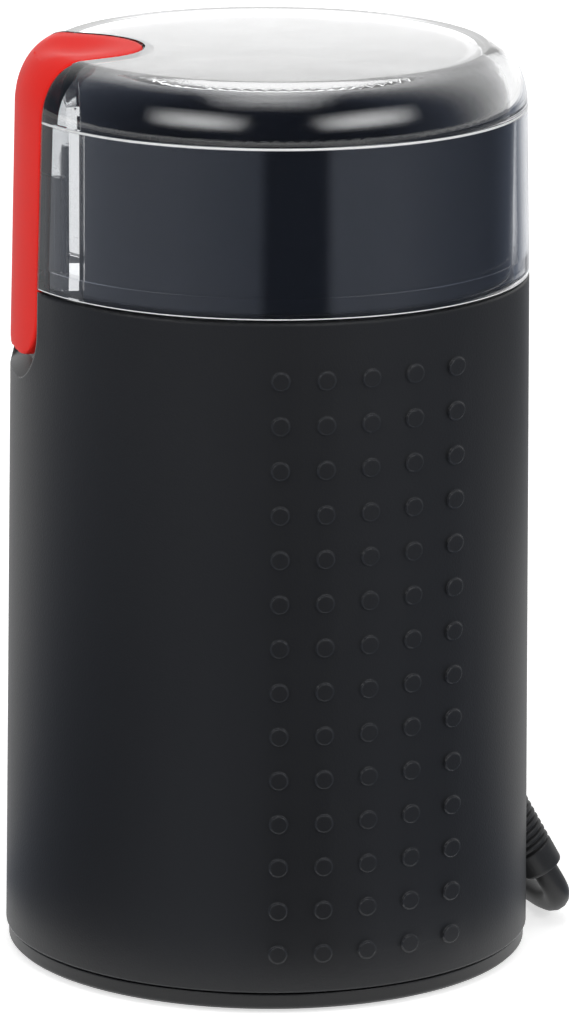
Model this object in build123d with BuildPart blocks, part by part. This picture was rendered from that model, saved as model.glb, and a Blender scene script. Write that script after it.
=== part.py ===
"""Electric blade coffee grinder: clear lift-off lid, press lever, steel bowl, motor and mains lead.

Millimetres, +Z up. The origin is on the floor under the grinder's axis. The lever faces -Y, the lead
leaves at +Y, and the raised dots are on the +X side.
"""
import math
import os

from build123d import *

os.makedirs("parts", exist_ok=True)

# Clearances
SLIDE_GAP = 0.4
SEAT_GAP = 0.3
RUN_GAP = 0.1
FIT_GAP = 0.05

# Base and outer body
FOOT_PROUD = 0.8
FOOT_RADIUS = 5.0
FOOT_HEIGHT = 2.3
FOOT_INSET = 12.5
BASE_EDGE = 2.8
BASE_STEP = 0.5
BASE_GAP = 0.5
BASE_RING_HEIGHT = 4.5
BASE_RING_WALL = 2.0
BODY_HEIGHT = 120.4
BODY_RADIUS_LOW = 47.5
BODY_TAPER = 1.2
BODY_WALL = 2.4
DECK = 3.4
EDGE_ROUND = 0.5
POST_RADIUS = 4.0
POST_BITE = 0.8
POST_HEIGHT = 20.0
VENT_LENGTH = 30.0
VENT_WIDTH = 2.4
VENT_PITCH = 6.0
VENT_COUNT = 5
SCREW_COUNT = 3

# Raised dots on the body
DOT_RADIUS = 1.55
DOT_PROUD = 0.5
DOT_COLUMNS = 5
DOT_ROWS = 14
DOT_COLUMN_PITCH = 8.05
DOT_ROW_PITCH = 7.93
DOT_GRID_CENTRE = 12.4
DOT_TOP_ROW = 114.2

# Screws
SCREW_RADIUS = 1.5
SCREW_HEAD_RADIUS = 2.8
SCREW_HEAD_HEIGHT = 1.8
SCREW_LENGTH = 12.0
SMALL_SCREW_RADIUS = 1.1
SMALL_HEAD_RADIUS = 2.0
SMALL_HEAD_HEIGHT = 1.2
SMALL_SCREW_LENGTH = 8.0

# Bowl housing and bowl
COLLAR_GAP = 0.35
COLLAR_FLAT_DEPTH = 8.2
COLLAR_WALL = 2.2
DOME_GAP = 0.6
DOME_LAND = 1.0
DOME_WALL = 2.0
DOME_HOLLOW = 3.5
BOWL_STEEL = 0.6
BOWL_LIP = 1.8
BOWL_CORNER = 8.0
BOWL_HOLE = 5.2
SLEEVE_WALL = 2.0
HOUSING_FLOOR = 3.0
HOUSING_HOLE = 8.5
HOUSING_BOSS_HEIGHT = 14.0

# Lid
LID_GAP = 0.45
LID_WALL_HEIGHT = 29.7
LID_DRAFT = 0.75
LID_SHOULDER_WIDTH = 7.0
LID_SHOULDER_RISE = 10.6
LID_WALL = 2.0
LID_TOP = 2.2
LID_LEDGE = 1.2
LID_SKIRT = 3.5
LID_SKIRT_EXTRA = 0.4
SLOT_WALL = 1.6
TONGUE_FLOOR = 1.4
RAIL_PROUD = 1.4
RAIL_WIDTH = 0.8

# Press lever
LEVER_HALF_WIDTH = 16.2
LEVER_WALL = 2.8
LEVER_INNER_BEND = 7.5
LEVER_DROP = 13.3
LEVER_CORNER = 8.0
LEVER_TRAVEL = 2.5
TONGUE_TIP = 23.0
TONGUE_TIP_RADIUS = 13.5
TONGUE_TIP_ANGLE = 30.0
TONGUE_ROOT = 40.0
TONGUE_WALL = 3.2
LEG_WALL = 1.6
LEG_HEIGHT = 20.0
WING_WALL = 0.8
PUSHER_HALF_WIDTH = 6.0
PUSHER_HEIGHT = 3.0

# Recess in the body below the lever
RECESS_BACK_GAP = 0.5
RECESS_WALL = 1.5
RECESS_CORNER = 10.0
RECESS_BELOW = 4.4
RECESS_SLOPE_RISE = 2.7

# Switch under the lever
PLUNGER_RADIUS = 1.3
PLUNGER_PROUD = 3.2
PLUNGER_FLANGE_RADIUS = 2.0
PLUNGER_FLANGE = 1.2
PLUNGER_GUIDE = 7.8
GUIDE_WALL = 1.7
SPRING_LENGTH = 8.0
SPRING_WIRE = 0.4
SPRING_MEAN_RADIUS = 1.7
SPRING_TURNS = 6
BRACKET_WALL = 2.0
BRACKET_HALF_WIDTH = 14.0
BRACKET_EDGE = 2.4
BRACKET_SCREW_X = 11.0
SWITCH_LENGTH = 19.8
SWITCH_WIDTH = 6.4
SWITCH_HEIGHT = 10.2
SWITCH_SCREW_X = 4.75
BUTTON_RADIUS = 1.0
BUTTON_HEIGHT = 2.4
BUTTON_TRAVEL = 0.6
TERMINAL_LENGTH = 5.0
TERMINAL_WIDTH = 3.2
TERMINAL_WALL = 0.8

# Motor
SHAFT_RADIUS = 3.0
SHAFT_TIP_RADIUS = 2.4
GROMMET_HEIGHT = 4.0
GROMMET_RADIUS = 5.0
MOTOR_CLEAR = 13.15
MOTOR_PLATE = 3.5
UPPER_SPACE = 20.0
STATOR_STACK = 26.0
LOWER_SPACE = 31.0
STATOR_RADIUS = 31.0
YOKE = 5.5
POLE_WIDTH = 16.0
SHOE_WIDTH = 26.0
SHOE_THICKNESS = 3.7
AIR_GAP = 0.6
ARMATURE_RADIUS = 16.2
SLOT_COUNT = 12
SLOT_WIDTH = 2.6
SLOT_MOUTH = 1.0
SLOT_FLOOR = 9.5
TOOTH_TIP = 1.0
WINDING_OVERHANG = 6.5
WINDING_GAP = 0.2
COMMUTATOR_RADIUS = 8.4
COMMUTATOR_LENGTH = 13.0
COMMUTATOR_GROOVE = 0.4
BEARING_RADIUS = 6.0
BEARING_LENGTH = 10.0
BEARING_BOSS_WALL = 3.0
WASHER_RADIUS = 5.0
FAN_RADIUS = 25.0
FAN_HEIGHT = 6.0
FAN_PLATE = 1.4
FAN_BLADES = 9
FAN_BLADE_WALL = 1.2
BRUSH_WIDTH = 4.6
BRUSH_HEIGHT = 5.6
BRUSH_LENGTH = 8.0
HOLDER_WALL = 1.6
HOLDER_LENGTH = 14.0
BRUSH_CAP = 1.6
BRUSH_SPRING_RADIUS = 1.8
BRUSH_SPRING_TURNS = 4
LEG_RADIUS = 3.0
BOLT_RADIUS = 1.75
MOUNT_CIRCLE = 21.0

# Blade
BLADE_GAP = 6.6
BLADE_RISE = 5.0
BLADE_WIDTH = 11.0
BLADE_STEEL = 1.6
BLADE_ABOVE_FLOOR = 4.4
NUT_RADIUS = 5.5
NUT_HEIGHT = 5.0
NUT_CAP = 1.5
SEAL_FLANGE = 1.2
SEAL_FLANGE_RADIUS = 7.4

# Interference capacitor
CAPACITOR_SIZE = (18.0, 8.0, 14.0)
CAPACITOR_PLACE = (-22.0, -14.0)

# Strain relief, lead, coil and plug
CORD_RADIUS = 2.4
BOOT_LENGTH = 22.0
BOOT_MOUTH_RADIUS = 3.8
BOOT_ROOT_RADIUS = 5.4
BOOT_MOUTH_OUT = 3.8
BOOT_MOUTH_LEVEL = 11.1
BOOT_SLOPE = 57.0
BOOT_GROOVES = 6
BOOT_GROOVE_WIDTH = 0.9
BOOT_GROOVE_DEPTH = 0.8
BOOT_GROOVE_PITCH = 1.9
BOOT_FIRST_GROOVE = 1.6
LEAD_EXIT = 4.05
COIL_BEHIND = 42.5
COIL_SIDE = 6.0
COIL_OUTER_RADIUS = 31.0
COIL_PITCH = 5.35
COIL_TURNS = 2
COIL_RELEASE = 12.0
LAYER_RISE = 5.3
TIE_WALL = 0.4
TIE_GAP = 0.15
TIE_WIDTH = 4.0
PLUG_LENGTH = 26.0
PLUG_FACE_HALF_WIDTH = 17.5
PLUG_REAR_HALF_WIDTH = 7.0
PLUG_NECK = 3.0
PLUG_NECK_RADIUS = 4.2
PLUG_THICKNESS = 16.0
PLUG_ROUND = 2.5
PIN_RADIUS = 2.0
PIN_LENGTH = 19.0
PIN_SPACING = 18.6

# Levels worked out from the sizes above
base_top = FOOT_PROUD + BASE_EDGE
body_low = base_top + BASE_GAP
body_top = body_low + BODY_HEIGHT
deck_under = body_top - DECK
lid_low = body_top + LID_GAP
rim = lid_low + LID_WALL_HEIGHT
lid_top = rim + LID_SHOULDER_RISE
collar_top = rim
lower_plate_under = base_top + MOTOR_CLEAR
lower_plate_top = lower_plate_under + MOTOR_PLATE
stator_low = lower_plate_top + LOWER_SPACE
stator_top = stator_low + STATOR_STACK
upper_plate_under = stator_top + UPPER_SPACE
upper_plate_top = upper_plate_under + MOTOR_PLATE
floor_under = upper_plate_top + GROMMET_HEIGHT
floor_top = floor_under + HOUSING_FLOOR
bowl_floor = floor_top + SEAT_GAP + BOWL_STEEL
body_radius_high = BODY_RADIUS_LOW - BODY_TAPER
lid_rim_radius = body_radius_high - LID_DRAFT
base_radius = BODY_RADIUS_LOW - BASE_STEP
collar_radius = lid_rim_radius - LID_WALL - COLLAR_GAP
collar_flat = collar_radius - COLLAR_FLAT_DEPTH
sleeve_radius = collar_flat
bowl_radius = sleeve_radius - SLEEVE_WALL - SLIDE_GAP
boot_mouth = (0.0, BODY_RADIUS_LOW + BOOT_MOUTH_OUT, BOOT_MOUTH_LEVEL)
coil_centre = (-BODY_RADIUS_LOW - COIL_BEHIND, COIL_SIDE)
post_circle = BODY_RADIUS_LOW - BODY_WALL - POST_RADIUS + POST_BITE
far_out = 2 * BODY_RADIUS_LOW


def body_radius(z):
    """Outer radius of the tapered body at a height."""
    share = (z - body_low) / BODY_HEIGHT
    return BODY_RADIUS_LOW + share * (body_radius_high - BODY_RADIUS_LOW)


def lid_radius(z):
    """Outer radius of the lid's drafted wall at a height."""
    share = (z - lid_low) / LID_WALL_HEIGHT
    return body_radius_high + share * (lid_rim_radius - body_radius_high)


def around(radius, count, first=90.0):
    """Points evenly spaced on a circle about the axis, from the angle `first` in degrees."""
    angles = [math.radians(first + 360.0 * i / count) for i in range(count)]
    return [(radius * math.cos(a), radius * math.sin(a)) for a in angles]


def turned(points, mode=Mode.ADD):
    """Turn a closed outline of (radius, height) points about the axis."""
    with BuildSketch(Plane.XZ) as section:
        with BuildLine():
            Polyline(*points, close=True)
        make_face()
    revolve(section.sketch, axis=Axis.Z, mode=mode)


def ring(inner, outer, low, high, mode=Mode.ADD):
    """A plain ring, or a disc where the inner radius is zero."""
    turned([(inner, low), (outer, low), (outer, high), (inner, high)], mode)


def posts(places, radius, low, high, mode=Mode.ADD):
    """Round posts or holes between two heights."""
    with BuildSketch(Plane.XY.offset(low)) as plan:
        with Locations(*places):
            Circle(radius)
    extrude(plan.sketch, amount=high - low, mode=mode)


def block(x, y, z, mode=Mode.ADD):
    """A box between the low and high limits of each axis."""
    with BuildSketch(Plane.XY.offset(z[0])) as plan:
        with Locations(((x[0] + x[1]) / 2, (y[0] + y[1]) / 2)):
            Rectangle(x[1] - x[0], y[1] - y[0])
    extrude(plan.sketch, amount=z[1] - z[0], mode=mode)


def biarc(start, start_way, end, end_way):
    """Join two points with two arcs that keep the ways given at both ends."""
    span = end - start
    ways = start_way + end_way
    lean = 2 * (1 - start_way.dot(end_way))
    along = span.dot(ways)
    reach = (math.sqrt(along**2 + lean * span.dot(span)) - along) / lean
    near = start + start_way * reach
    far = end - end_way * reach
    middle = (near + far) * 0.5
    TangentArc(start, middle, tangent=start_way)
    TangentArc(middle, end, tangent=far - near)


def wound_path(place, turns, ways_per_turn=4, last_way=None):
    """Biarcs through the points that `place` gives for each share of the whole winding."""
    steps = round(turns * ways_per_turn)
    nudge = 1e-4
    points = [place(i / steps) for i in range(steps + 1)]
    ways = [(place(i / steps + nudge) - place(i / steps - nudge)).normalized() for i in range(steps + 1)]
    if last_way:
        ways[0], ways[-1] = -last_way, last_way
    for i in range(steps):
        biarc(points[i], ways[i], points[i + 1], ways[i + 1])
    return points, ways


def least_gap(place, turns, wire_radius, samples_per_turn=48):
    """Least gap of a wound wire to itself, over points at least half a turn apart."""
    count = round(turns * samples_per_turn)
    points = [place(i / count) for i in range(count + 1)]
    apart = samples_per_turn // 2
    pairs = ((a, b) for i, a in enumerate(points) for b in points[i + apart:])
    return min((a - b).length for a, b in pairs) - 2 * wire_radius


# Lever and recess outlines
recess_low = lid_low - LEVER_DROP - RECESS_BELOW
recess_radius = body_radius(lid_low - LEVER_DROP) - LEVER_WALL - RECESS_BACK_GAP
lever_low = lid_low - LEVER_DROP
slope = RECESS_SLOPE_RISE / (body_radius(recess_low) - recess_radius)


def lever_recess(grow):
    """The space in the body's wall for the lever's lower end, grown inwards by `grow`."""
    back = recess_radius - grow
    drop = grow * math.hypot(1, slope)
    low_at_back = recess_low + RECESS_SLOPE_RISE + slope * grow - drop
    low_far_out = low_at_back - slope * (far_out - back)
    with BuildPart() as form:
        turned([(back, low_at_back), (far_out, low_far_out), (far_out, lid_low), (back, lid_low)])
        with BuildSketch(Plane.XZ):
            half_width = LEVER_HALF_WIDTH + SLIDE_GAP + grow
            low = recess_low - drop
            with Locations((0, (low + lid_top) / 2)):
                Rectangle(2 * half_width, lid_top - low)
            fillet(vertices().sort_by(Axis.Y)[:2], RECESS_CORNER + grow)
        extrude(amount=far_out, mode=Mode.INTERSECT)
    return form.part


def tongue_outline(grow):
    """Plan of the lever, from its rounded tip to beyond the wall, grown on all sides by `grow`."""
    turn = math.radians(TONGUE_TIP_ANGLE)
    centre = -TONGUE_TIP - TONGUE_TIP_RADIUS
    tip = (0, -TONGUE_TIP)
    bend = (TONGUE_TIP_RADIUS * math.cos(turn), centre + TONGUE_TIP_RADIUS * math.sin(turn))
    root = (LEVER_HALF_WIDTH, -TONGUE_ROOT)
    with BuildLine() as half:
        TangentArc(tip, bend, tangent=(1, 0))
        way = (math.sin(turn), -math.cos(turn))
        corner = (LEVER_HALF_WIDTH, bend[1] + (LEVER_HALF_WIDTH - bend[0]) / way[0] * way[1])
        run = corner[1] - root[1]
        shoulder = (corner[0] - run * way[0], corner[1] - run * way[1])
        Line(bend, shoulder)
        TangentArc(shoulder, root, tangent=way)
        Line(root, (LEVER_HALF_WIDTH, -far_out))
        Line((LEVER_HALF_WIDTH, -far_out), (0, -far_out))
        Line((0, -far_out), tip)
    make_face(half.edges())
    mirror(about=Plane.YZ)
    if grow:
        offset(amount=grow)


# Outer body: tapered shell with a deck, recess for the lever, screw posts and raised dots
screw_places = around(post_circle, SCREW_COUNT, first=30.0)
housing_screw_circle = (sleeve_radius + collar_radius - COLLAR_WALL) / 2
housing_boss_radius = (collar_radius - COLLAR_WALL - sleeve_radius + POST_BITE) / 2
housing_screw_places = around(housing_screw_circle, SCREW_COUNT)
switch_y = -(collar_flat + SLIDE_GAP + SLOT_WALL + SLIDE_GAP + PLUNGER_RADIUS + SEAT_GAP)
spring_stack = RUN_GAP + PLUNGER_FLANGE + SPRING_LENGTH
guide_low = min(deck_under - PLUNGER_GUIDE, floor_under - SEAT_GAP + spring_stack)
bracket_top = guide_low - spring_stack
bracket_under = bracket_top - BRACKET_WALL
bracket_places = [(-BRACKET_SCREW_X, switch_y), (BRACKET_SCREW_X, switch_y)]
boot_way = Vector(0, -math.cos(math.radians(BOOT_SLOPE)), math.sin(math.radians(BOOT_SLOPE)))
boot_plane = Plane(origin=boot_mouth, x_dir=(1, 0, 0), z_dir=Vector(1, 0, 0).cross(boot_way))
boot_axis = Axis(boot_mouth, boot_way)


def boot_radius(along):
    """Radius of the tapered strain relief at a distance from its mouth."""
    return BOOT_MOUTH_RADIUS + along / BOOT_LENGTH * (BOOT_ROOT_RADIUS - BOOT_MOUTH_RADIUS)


body_shell_outline = [
    (BODY_RADIUS_LOW, body_low),
    (body_radius_high, body_top),
    (sleeve_radius + SLIDE_GAP, body_top),
    (sleeve_radius + SLIDE_GAP, deck_under),
    (body_radius(deck_under) - BODY_WALL, deck_under),
    (BODY_RADIUS_LOW - BODY_WALL, body_low),
]

with BuildPart() as recess_wall:
    add(lever_recess(RECESS_WALL))
    turned([(0, body_low), (BODY_RADIUS_LOW, body_low), (body_radius_high, body_top), (0, body_top)],
           mode=Mode.INTERSECT)

with BuildPart() as grip_dots:
    dot_rows = [DOT_TOP_ROW - DOT_ROW_PITCH * i for i in range(DOT_ROWS)]
    first_column = DOT_GRID_CENTRE - DOT_COLUMN_PITCH * (DOT_COLUMNS - 1) / 2
    dot_columns = [first_column + DOT_COLUMN_PITCH * i for i in range(DOT_COLUMNS)]
    with BuildSketch(Plane.YZ):
        with Locations(*[(y, z) for y in dot_columns for z in dot_rows]):
            Circle(DOT_RADIUS)
    extrude(amount=far_out)
    turned([
        (BODY_RADIUS_LOW - BODY_WALL / 2, body_low),
        (BODY_RADIUS_LOW + DOT_PROUD, body_low),
        (body_radius_high + DOT_PROUD, body_top),
        (body_radius_high - BODY_WALL / 2, body_top),
    ], mode=Mode.INTERSECT)

with BuildPart() as outer_body:
    turned(body_shell_outline)
    fillet(edges().filter_by(GeomType.CIRCLE).group_by(Axis.Z)[-1].sort_by(SortBy.RADIUS)[-1], EDGE_ROUND)
    add(recess_wall.part)
    posts(screw_places, POST_RADIUS, base_top, base_top + POST_HEIGHT)
    posts(bracket_places, SMALL_SCREW_RADIUS + GUIDE_WALL, bracket_top, body_top)
    posts([(0, switch_y)], PLUNGER_RADIUS + GUIDE_WALL, guide_low, body_top)
    add(lever_recess(0), mode=Mode.SUBTRACT)
    posts([(0, switch_y)], PLUNGER_RADIUS + RUN_GAP, guide_low, lid_low, mode=Mode.SUBTRACT)
    posts(bracket_places, SMALL_SCREW_RADIUS, bracket_top, bracket_top + SMALL_SCREW_LENGTH,
          mode=Mode.SUBTRACT)
    posts(screw_places, SCREW_RADIUS, base_top, base_top + SCREW_LENGTH, mode=Mode.SUBTRACT)
    posts(housing_screw_places, SCREW_RADIUS + RUN_GAP, deck_under, body_top, mode=Mode.SUBTRACT)
    with BuildSketch(boot_plane):
        with BuildLine():
            Polyline(
                (0, 0),
                (boot_radius(0) + RUN_GAP, 0),
                (boot_radius(BOOT_LENGTH) + RUN_GAP, BOOT_LENGTH),
                (0, BOOT_LENGTH),
                close=True,
            )
        make_face()
    revolve(axis=boot_axis, mode=Mode.SUBTRACT)
    add(grip_dots.part)

# Base plate with its locating ring, vents, foot seats and screw holes
foot_places = around(BODY_RADIUS_LOW - FOOT_INSET, SCREW_COUNT)
ring_outer = BODY_RADIUS_LOW - BODY_WALL - SLIDE_GAP
with BuildPart() as base_plate:
    ring(0, base_radius, FOOT_PROUD, base_top)
    chamfer(edges().group_by(Axis.Z)[0], EDGE_ROUND)
    ring(ring_outer - BASE_RING_WALL, ring_outer, base_top, base_top + BASE_RING_HEIGHT)
    posts(screw_places, POST_RADIUS + SLIDE_GAP, base_top, base_top + BASE_RING_HEIGHT, mode=Mode.SUBTRACT)
    posts(screw_places, SCREW_RADIUS + RUN_GAP, FOOT_PROUD, base_top, mode=Mode.SUBTRACT)
    posts(screw_places, SCREW_HEAD_RADIUS + RUN_GAP, FOOT_PROUD, FOOT_PROUD + SCREW_HEAD_HEIGHT,
          mode=Mode.SUBTRACT)
    posts(foot_places, FOOT_RADIUS + RUN_GAP, FOOT_PROUD, FOOT_HEIGHT, mode=Mode.SUBTRACT)
    with BuildSketch(Plane.XY.offset(FOOT_PROUD)):
        with GridLocations(0, VENT_PITCH, 1, VENT_COUNT):
            SlotOverall(VENT_LENGTH, VENT_WIDTH)
    extrude(amount=BASE_EDGE, mode=Mode.SUBTRACT)

with BuildPart() as rubber_feet:
    posts(foot_places, FOOT_RADIUS, 0, FOOT_HEIGHT)
    fillet(edges().group_by(Axis.Z)[0], EDGE_ROUND)

with BuildPart() as base_screws:
    posts(screw_places, SCREW_HEAD_RADIUS, FOOT_PROUD + EDGE_ROUND, FOOT_PROUD + SCREW_HEAD_HEIGHT)
    posts(screw_places, SCREW_RADIUS - FIT_GAP, FOOT_PROUD + SCREW_HEAD_HEIGHT,
          base_top + SCREW_LENGTH - SEAT_GAP)

# Levels and radii that the collar, lid and lever share
shoulder_flat = lid_rim_radius - LID_SHOULDER_WIDTH
ledge_radius = lid_rim_radius - LID_WALL - LID_LEDGE
slot_half_width = LEVER_HALF_WIDTH + SLIDE_GAP
partition_back = -(collar_flat + SLIDE_GAP)
partition_front = partition_back - SLOT_WALL
tongue_under = lid_top - TONGUE_WALL
lever_inside = lid_radius(rim) - LEVER_WALL
inner_bend_level = tongue_under - LEVER_INNER_BEND
inner_bend_centre = lid_radius(inner_bend_level) - LEVER_WALL - LEVER_INNER_BEND
corner_from_centre = math.hypot(LEVER_HALF_WIDTH, partition_front) - inner_bend_centre
lever_corner_under = inner_bend_level + math.sqrt(LEVER_INNER_BEND**2 - corner_from_centre**2)
tongue_floor_top = lever_corner_under - LEVER_TRAVEL - SLIDE_GAP
rail_front = -math.sqrt(lever_inside**2 - LEVER_HALF_WIDTH**2) + SEAT_GAP
rail_back = rail_front + RAIL_WIDTH
dome_outer = ledge_radius - SLIDE_GAP
dome_inner = bowl_radius + BOWL_LIP + SLIDE_GAP
dome_top = lid_top - LID_TOP - DOME_GAP
dome_low = collar_top - COLLAR_WALL


# Bowl housing: glossy collar with a domed top, a flat behind the lever, a sleeve and a floor
def collar_outline(inset):
    """Round outline of the collar with a flat on the lever side, moved inwards by `inset`."""
    Circle(collar_radius - inset)
    with Locations((0, -collar_flat + inset - far_out / 2)):
        Rectangle(far_out, far_out, mode=Mode.SUBTRACT)


mount_places = around(MOUNT_CIRCLE, SCREW_COUNT)
with BuildPart() as collar_dome:
    with BuildSketch(Plane.XZ):
        with BuildLine():
            dome_flat = dome_inner + DOME_LAND
            Polyline(
                (dome_flat, dome_top),
                (dome_inner, dome_top),
                (dome_inner, dome_low),
                (dome_outer, dome_low),
                (dome_outer, collar_top),
            )
            EllipticalCenterArc((dome_flat, collar_top), dome_outer - dome_flat, dome_top - collar_top)
        make_face()
    revolve(axis=Axis.Z)
    ring(dome_inner + DOME_WALL, dome_outer - DOME_WALL, dome_low, collar_top + DOME_HOLLOW,
         mode=Mode.SUBTRACT)
    block((-far_out, far_out), (-far_out, -collar_flat), (dome_low, dome_top), mode=Mode.SUBTRACT)
    with BuildSketch(Plane.XY.offset(tongue_floor_top - TONGUE_FLOOR - SLIDE_GAP)):
        tongue_outline(SLOT_WALL + 2 * SLIDE_GAP)
    extrude(amount=LID_SHOULDER_RISE, mode=Mode.SUBTRACT)

with BuildPart() as bowl_housing:
    with BuildSketch(Plane.XY.offset(body_top)):
        collar_outline(0)
    extrude(amount=collar_top - body_top)
    fillet(edges().group_by(Axis.Z)[-1], EDGE_ROUND)
    with BuildSketch(Plane.XY.offset(body_top)):
        collar_outline(COLLAR_WALL)
    extrude(amount=collar_top - COLLAR_WALL - body_top, mode=Mode.SUBTRACT)
    ring(0, sleeve_radius, floor_under, collar_top - COLLAR_WALL)
    ring(dome_inner + DOME_WALL, dome_outer - DOME_WALL, dome_low, collar_top, mode=Mode.SUBTRACT)
    add(collar_dome.part)
    posts(housing_screw_places, housing_boss_radius, body_top, body_top + HOUSING_BOSS_HEIGHT)
    posts(housing_screw_places, SCREW_RADIUS, body_top, body_top + SCREW_LENGTH, mode=Mode.SUBTRACT)
    ring(0, bowl_radius + SLIDE_GAP, floor_top, collar_top, mode=Mode.SUBTRACT)
    posts([(0, 0)], HOUSING_HOLE, floor_under, floor_top, mode=Mode.SUBTRACT)
    posts(mount_places, SCREW_RADIUS + RUN_GAP, floor_under, floor_top, mode=Mode.SUBTRACT)
    posts(mount_places, SCREW_HEAD_RADIUS + RUN_GAP, floor_top - SCREW_HEAD_HEIGHT, floor_top,
          mode=Mode.SUBTRACT)

with BuildPart() as housing_screws:
    posts(housing_screw_places, SCREW_HEAD_RADIUS, deck_under - SCREW_HEAD_HEIGHT, deck_under)
    posts(housing_screw_places, SCREW_RADIUS - FIT_GAP, deck_under, body_top + SCREW_LENGTH - SEAT_GAP)

# Steel bowl: deep cup with a flat lip on the housing's rim and a hole for the shaft
bowl_low = bowl_floor - BOWL_STEEL
with BuildPart() as grinding_bowl:
    ring(0, bowl_radius, bowl_low, collar_top)
    fillet(edges().group_by(Axis.Z)[0], BOWL_CORNER + BOWL_STEEL)
    ring(0, bowl_radius + BOWL_LIP, collar_top, collar_top + BOWL_STEEL)
    with BuildSketch(Plane.XZ):
        with BuildLine():
            inside = bowl_radius - BOWL_STEEL
            Line((0, bowl_floor), (inside - BOWL_CORNER, bowl_floor))
            corner_top = (inside, bowl_floor + BOWL_CORNER)
            TangentArc((inside - BOWL_CORNER, bowl_floor), corner_top, tangent=(1, 0))
            Polyline(corner_top, (inside, lid_top), (0, lid_top), (0, bowl_floor))
        make_face()
    revolve(axis=Axis.Z, mode=Mode.SUBTRACT)
    posts([(0, 0)], BOWL_HOLE, bowl_low, bowl_floor, mode=Mode.SUBTRACT)

with BuildPart() as shaft_seal:
    ring(SHAFT_RADIUS + RUN_GAP, BOWL_HOLE - FIT_GAP, bowl_low - SEAL_FLANGE, bowl_floor + SEAL_FLANGE)
    ring(SHAFT_RADIUS + RUN_GAP, SEAL_FLANGE_RADIUS, bowl_floor, bowl_floor + SEAL_FLANGE)

# Lid: clear drafted wall and rounded shoulder, with a slot for the lever closed off from the inside

def lid_form():
    """The lid's outer form as a full solid of revolution."""
    with BuildSketch(Plane.XZ) as section:
        with BuildLine():
            Polyline((0, lid_top), (0, lid_low), (body_radius_high, lid_low), (lid_rim_radius, rim))
            EllipticalCenterArc((shoulder_flat, rim), LID_SHOULDER_WIDTH, LID_SHOULDER_RISE)
            Line((shoulder_flat, lid_top), (0, lid_top))
        make_face()
    revolve(section.sketch, axis=Axis.Z)


def lid_hollow():
    """The space inside the lid: skirt, wall, ledge and shoulder."""
    inner_rise = LID_SHOULDER_RISE - LID_TOP
    inner_width = LID_SHOULDER_WIDTH - LID_LEDGE
    skirt_radius = body_radius_high - LID_WALL - LID_SKIRT_EXTRA
    with BuildSketch(Plane.XZ) as section:
        with BuildLine():
            Polyline(
                (0, lid_top - LID_TOP),
                (0, lid_low),
                (skirt_radius, lid_low),
                (skirt_radius, lid_low + LID_SKIRT),
                (lid_radius(lid_low + LID_SKIRT) - LID_WALL, lid_low + LID_SKIRT),
                (lid_rim_radius - LID_WALL, rim),
                (ledge_radius, rim),
            )
            EllipticalCenterArc((ledge_radius - inner_width, rim), inner_width, inner_rise)
            Line((ledge_radius - inner_width, lid_top - LID_TOP), (0, lid_top - LID_TOP))
        make_face()
    revolve(section.sketch, axis=Axis.Z, mode=Mode.SUBTRACT)


with BuildPart() as slot_space:
    outer_half = slot_half_width + SLOT_WALL
    block((-outer_half, outer_half), (-far_out, partition_back), (lid_low, lid_top))
    with BuildSketch(Plane.XY.offset(tongue_floor_top - TONGUE_FLOOR)):
        tongue_outline(SLIDE_GAP + SLOT_WALL)
    extrude(amount=lid_top - tongue_floor_top + TONGUE_FLOOR)

with BuildPart() as slot_shell:
    lid_form()
    add(slot_space.part, mode=Mode.INTERSECT)

with BuildPart() as lid:
    lid_form()
    lid_hollow()
    add(slot_shell.part)
    block((-slot_half_width, slot_half_width), (-far_out, partition_front), (lid_low, lid_top),
          mode=Mode.SUBTRACT)
    with BuildSketch(Plane.XY.offset(tongue_floor_top)):
        tongue_outline(SLIDE_GAP)
    extrude(amount=lid_top - tongue_floor_top, mode=Mode.SUBTRACT)
    for side in (-1, 1):
        edge = side * (slot_half_width + SLOT_WALL / 2)
        tip = side * (slot_half_width - RAIL_PROUD)
        block((min(edge, tip), max(edge, tip)), (rail_front, rail_back), (lid_low, lid_low + LEG_HEIGHT))

# Press lever: curved outer wall bent over the shoulder into a tongue, with legs behind the lid's rails
with BuildPart() as press_lever:
    with BuildSketch(Plane.XZ):
        with BuildLine():
            low_radius = body_radius(lever_low)
            low_inside = (low_radius - LEVER_WALL, lever_low + slope * LEVER_WALL)
            Polyline(low_inside, (low_radius, lever_low), (lid_rim_radius, rim))
            EllipticalCenterArc((shoulder_flat, rim), LID_SHOULDER_WIDTH, LID_SHOULDER_RISE)
            Polyline(
                (shoulder_flat, lid_top),
                (0, lid_top),
                (0, tongue_under),
                (inner_bend_centre, tongue_under),
            )
            inner_side = (inner_bend_centre + LEVER_INNER_BEND, inner_bend_level)
            TangentArc((inner_bend_centre, tongue_under), inner_side, tangent=(1, 0))
            Line(inner_side, low_inside)
        make_face()
    revolve(axis=Axis.Z)
    with BuildSketch():
        tongue_outline(0)
    extrude(amount=2 * lid_top, mode=Mode.INTERSECT)
    with BuildSketch(Plane.XZ):
        with Locations((0, lever_low + lid_top / 2)):
            Rectangle(2 * LEVER_HALF_WIDTH, lid_top)
        fillet(vertices().sort_by(Axis.Y)[:2], LEVER_CORNER)
    extrude(amount=far_out, mode=Mode.INTERSECT)

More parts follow.
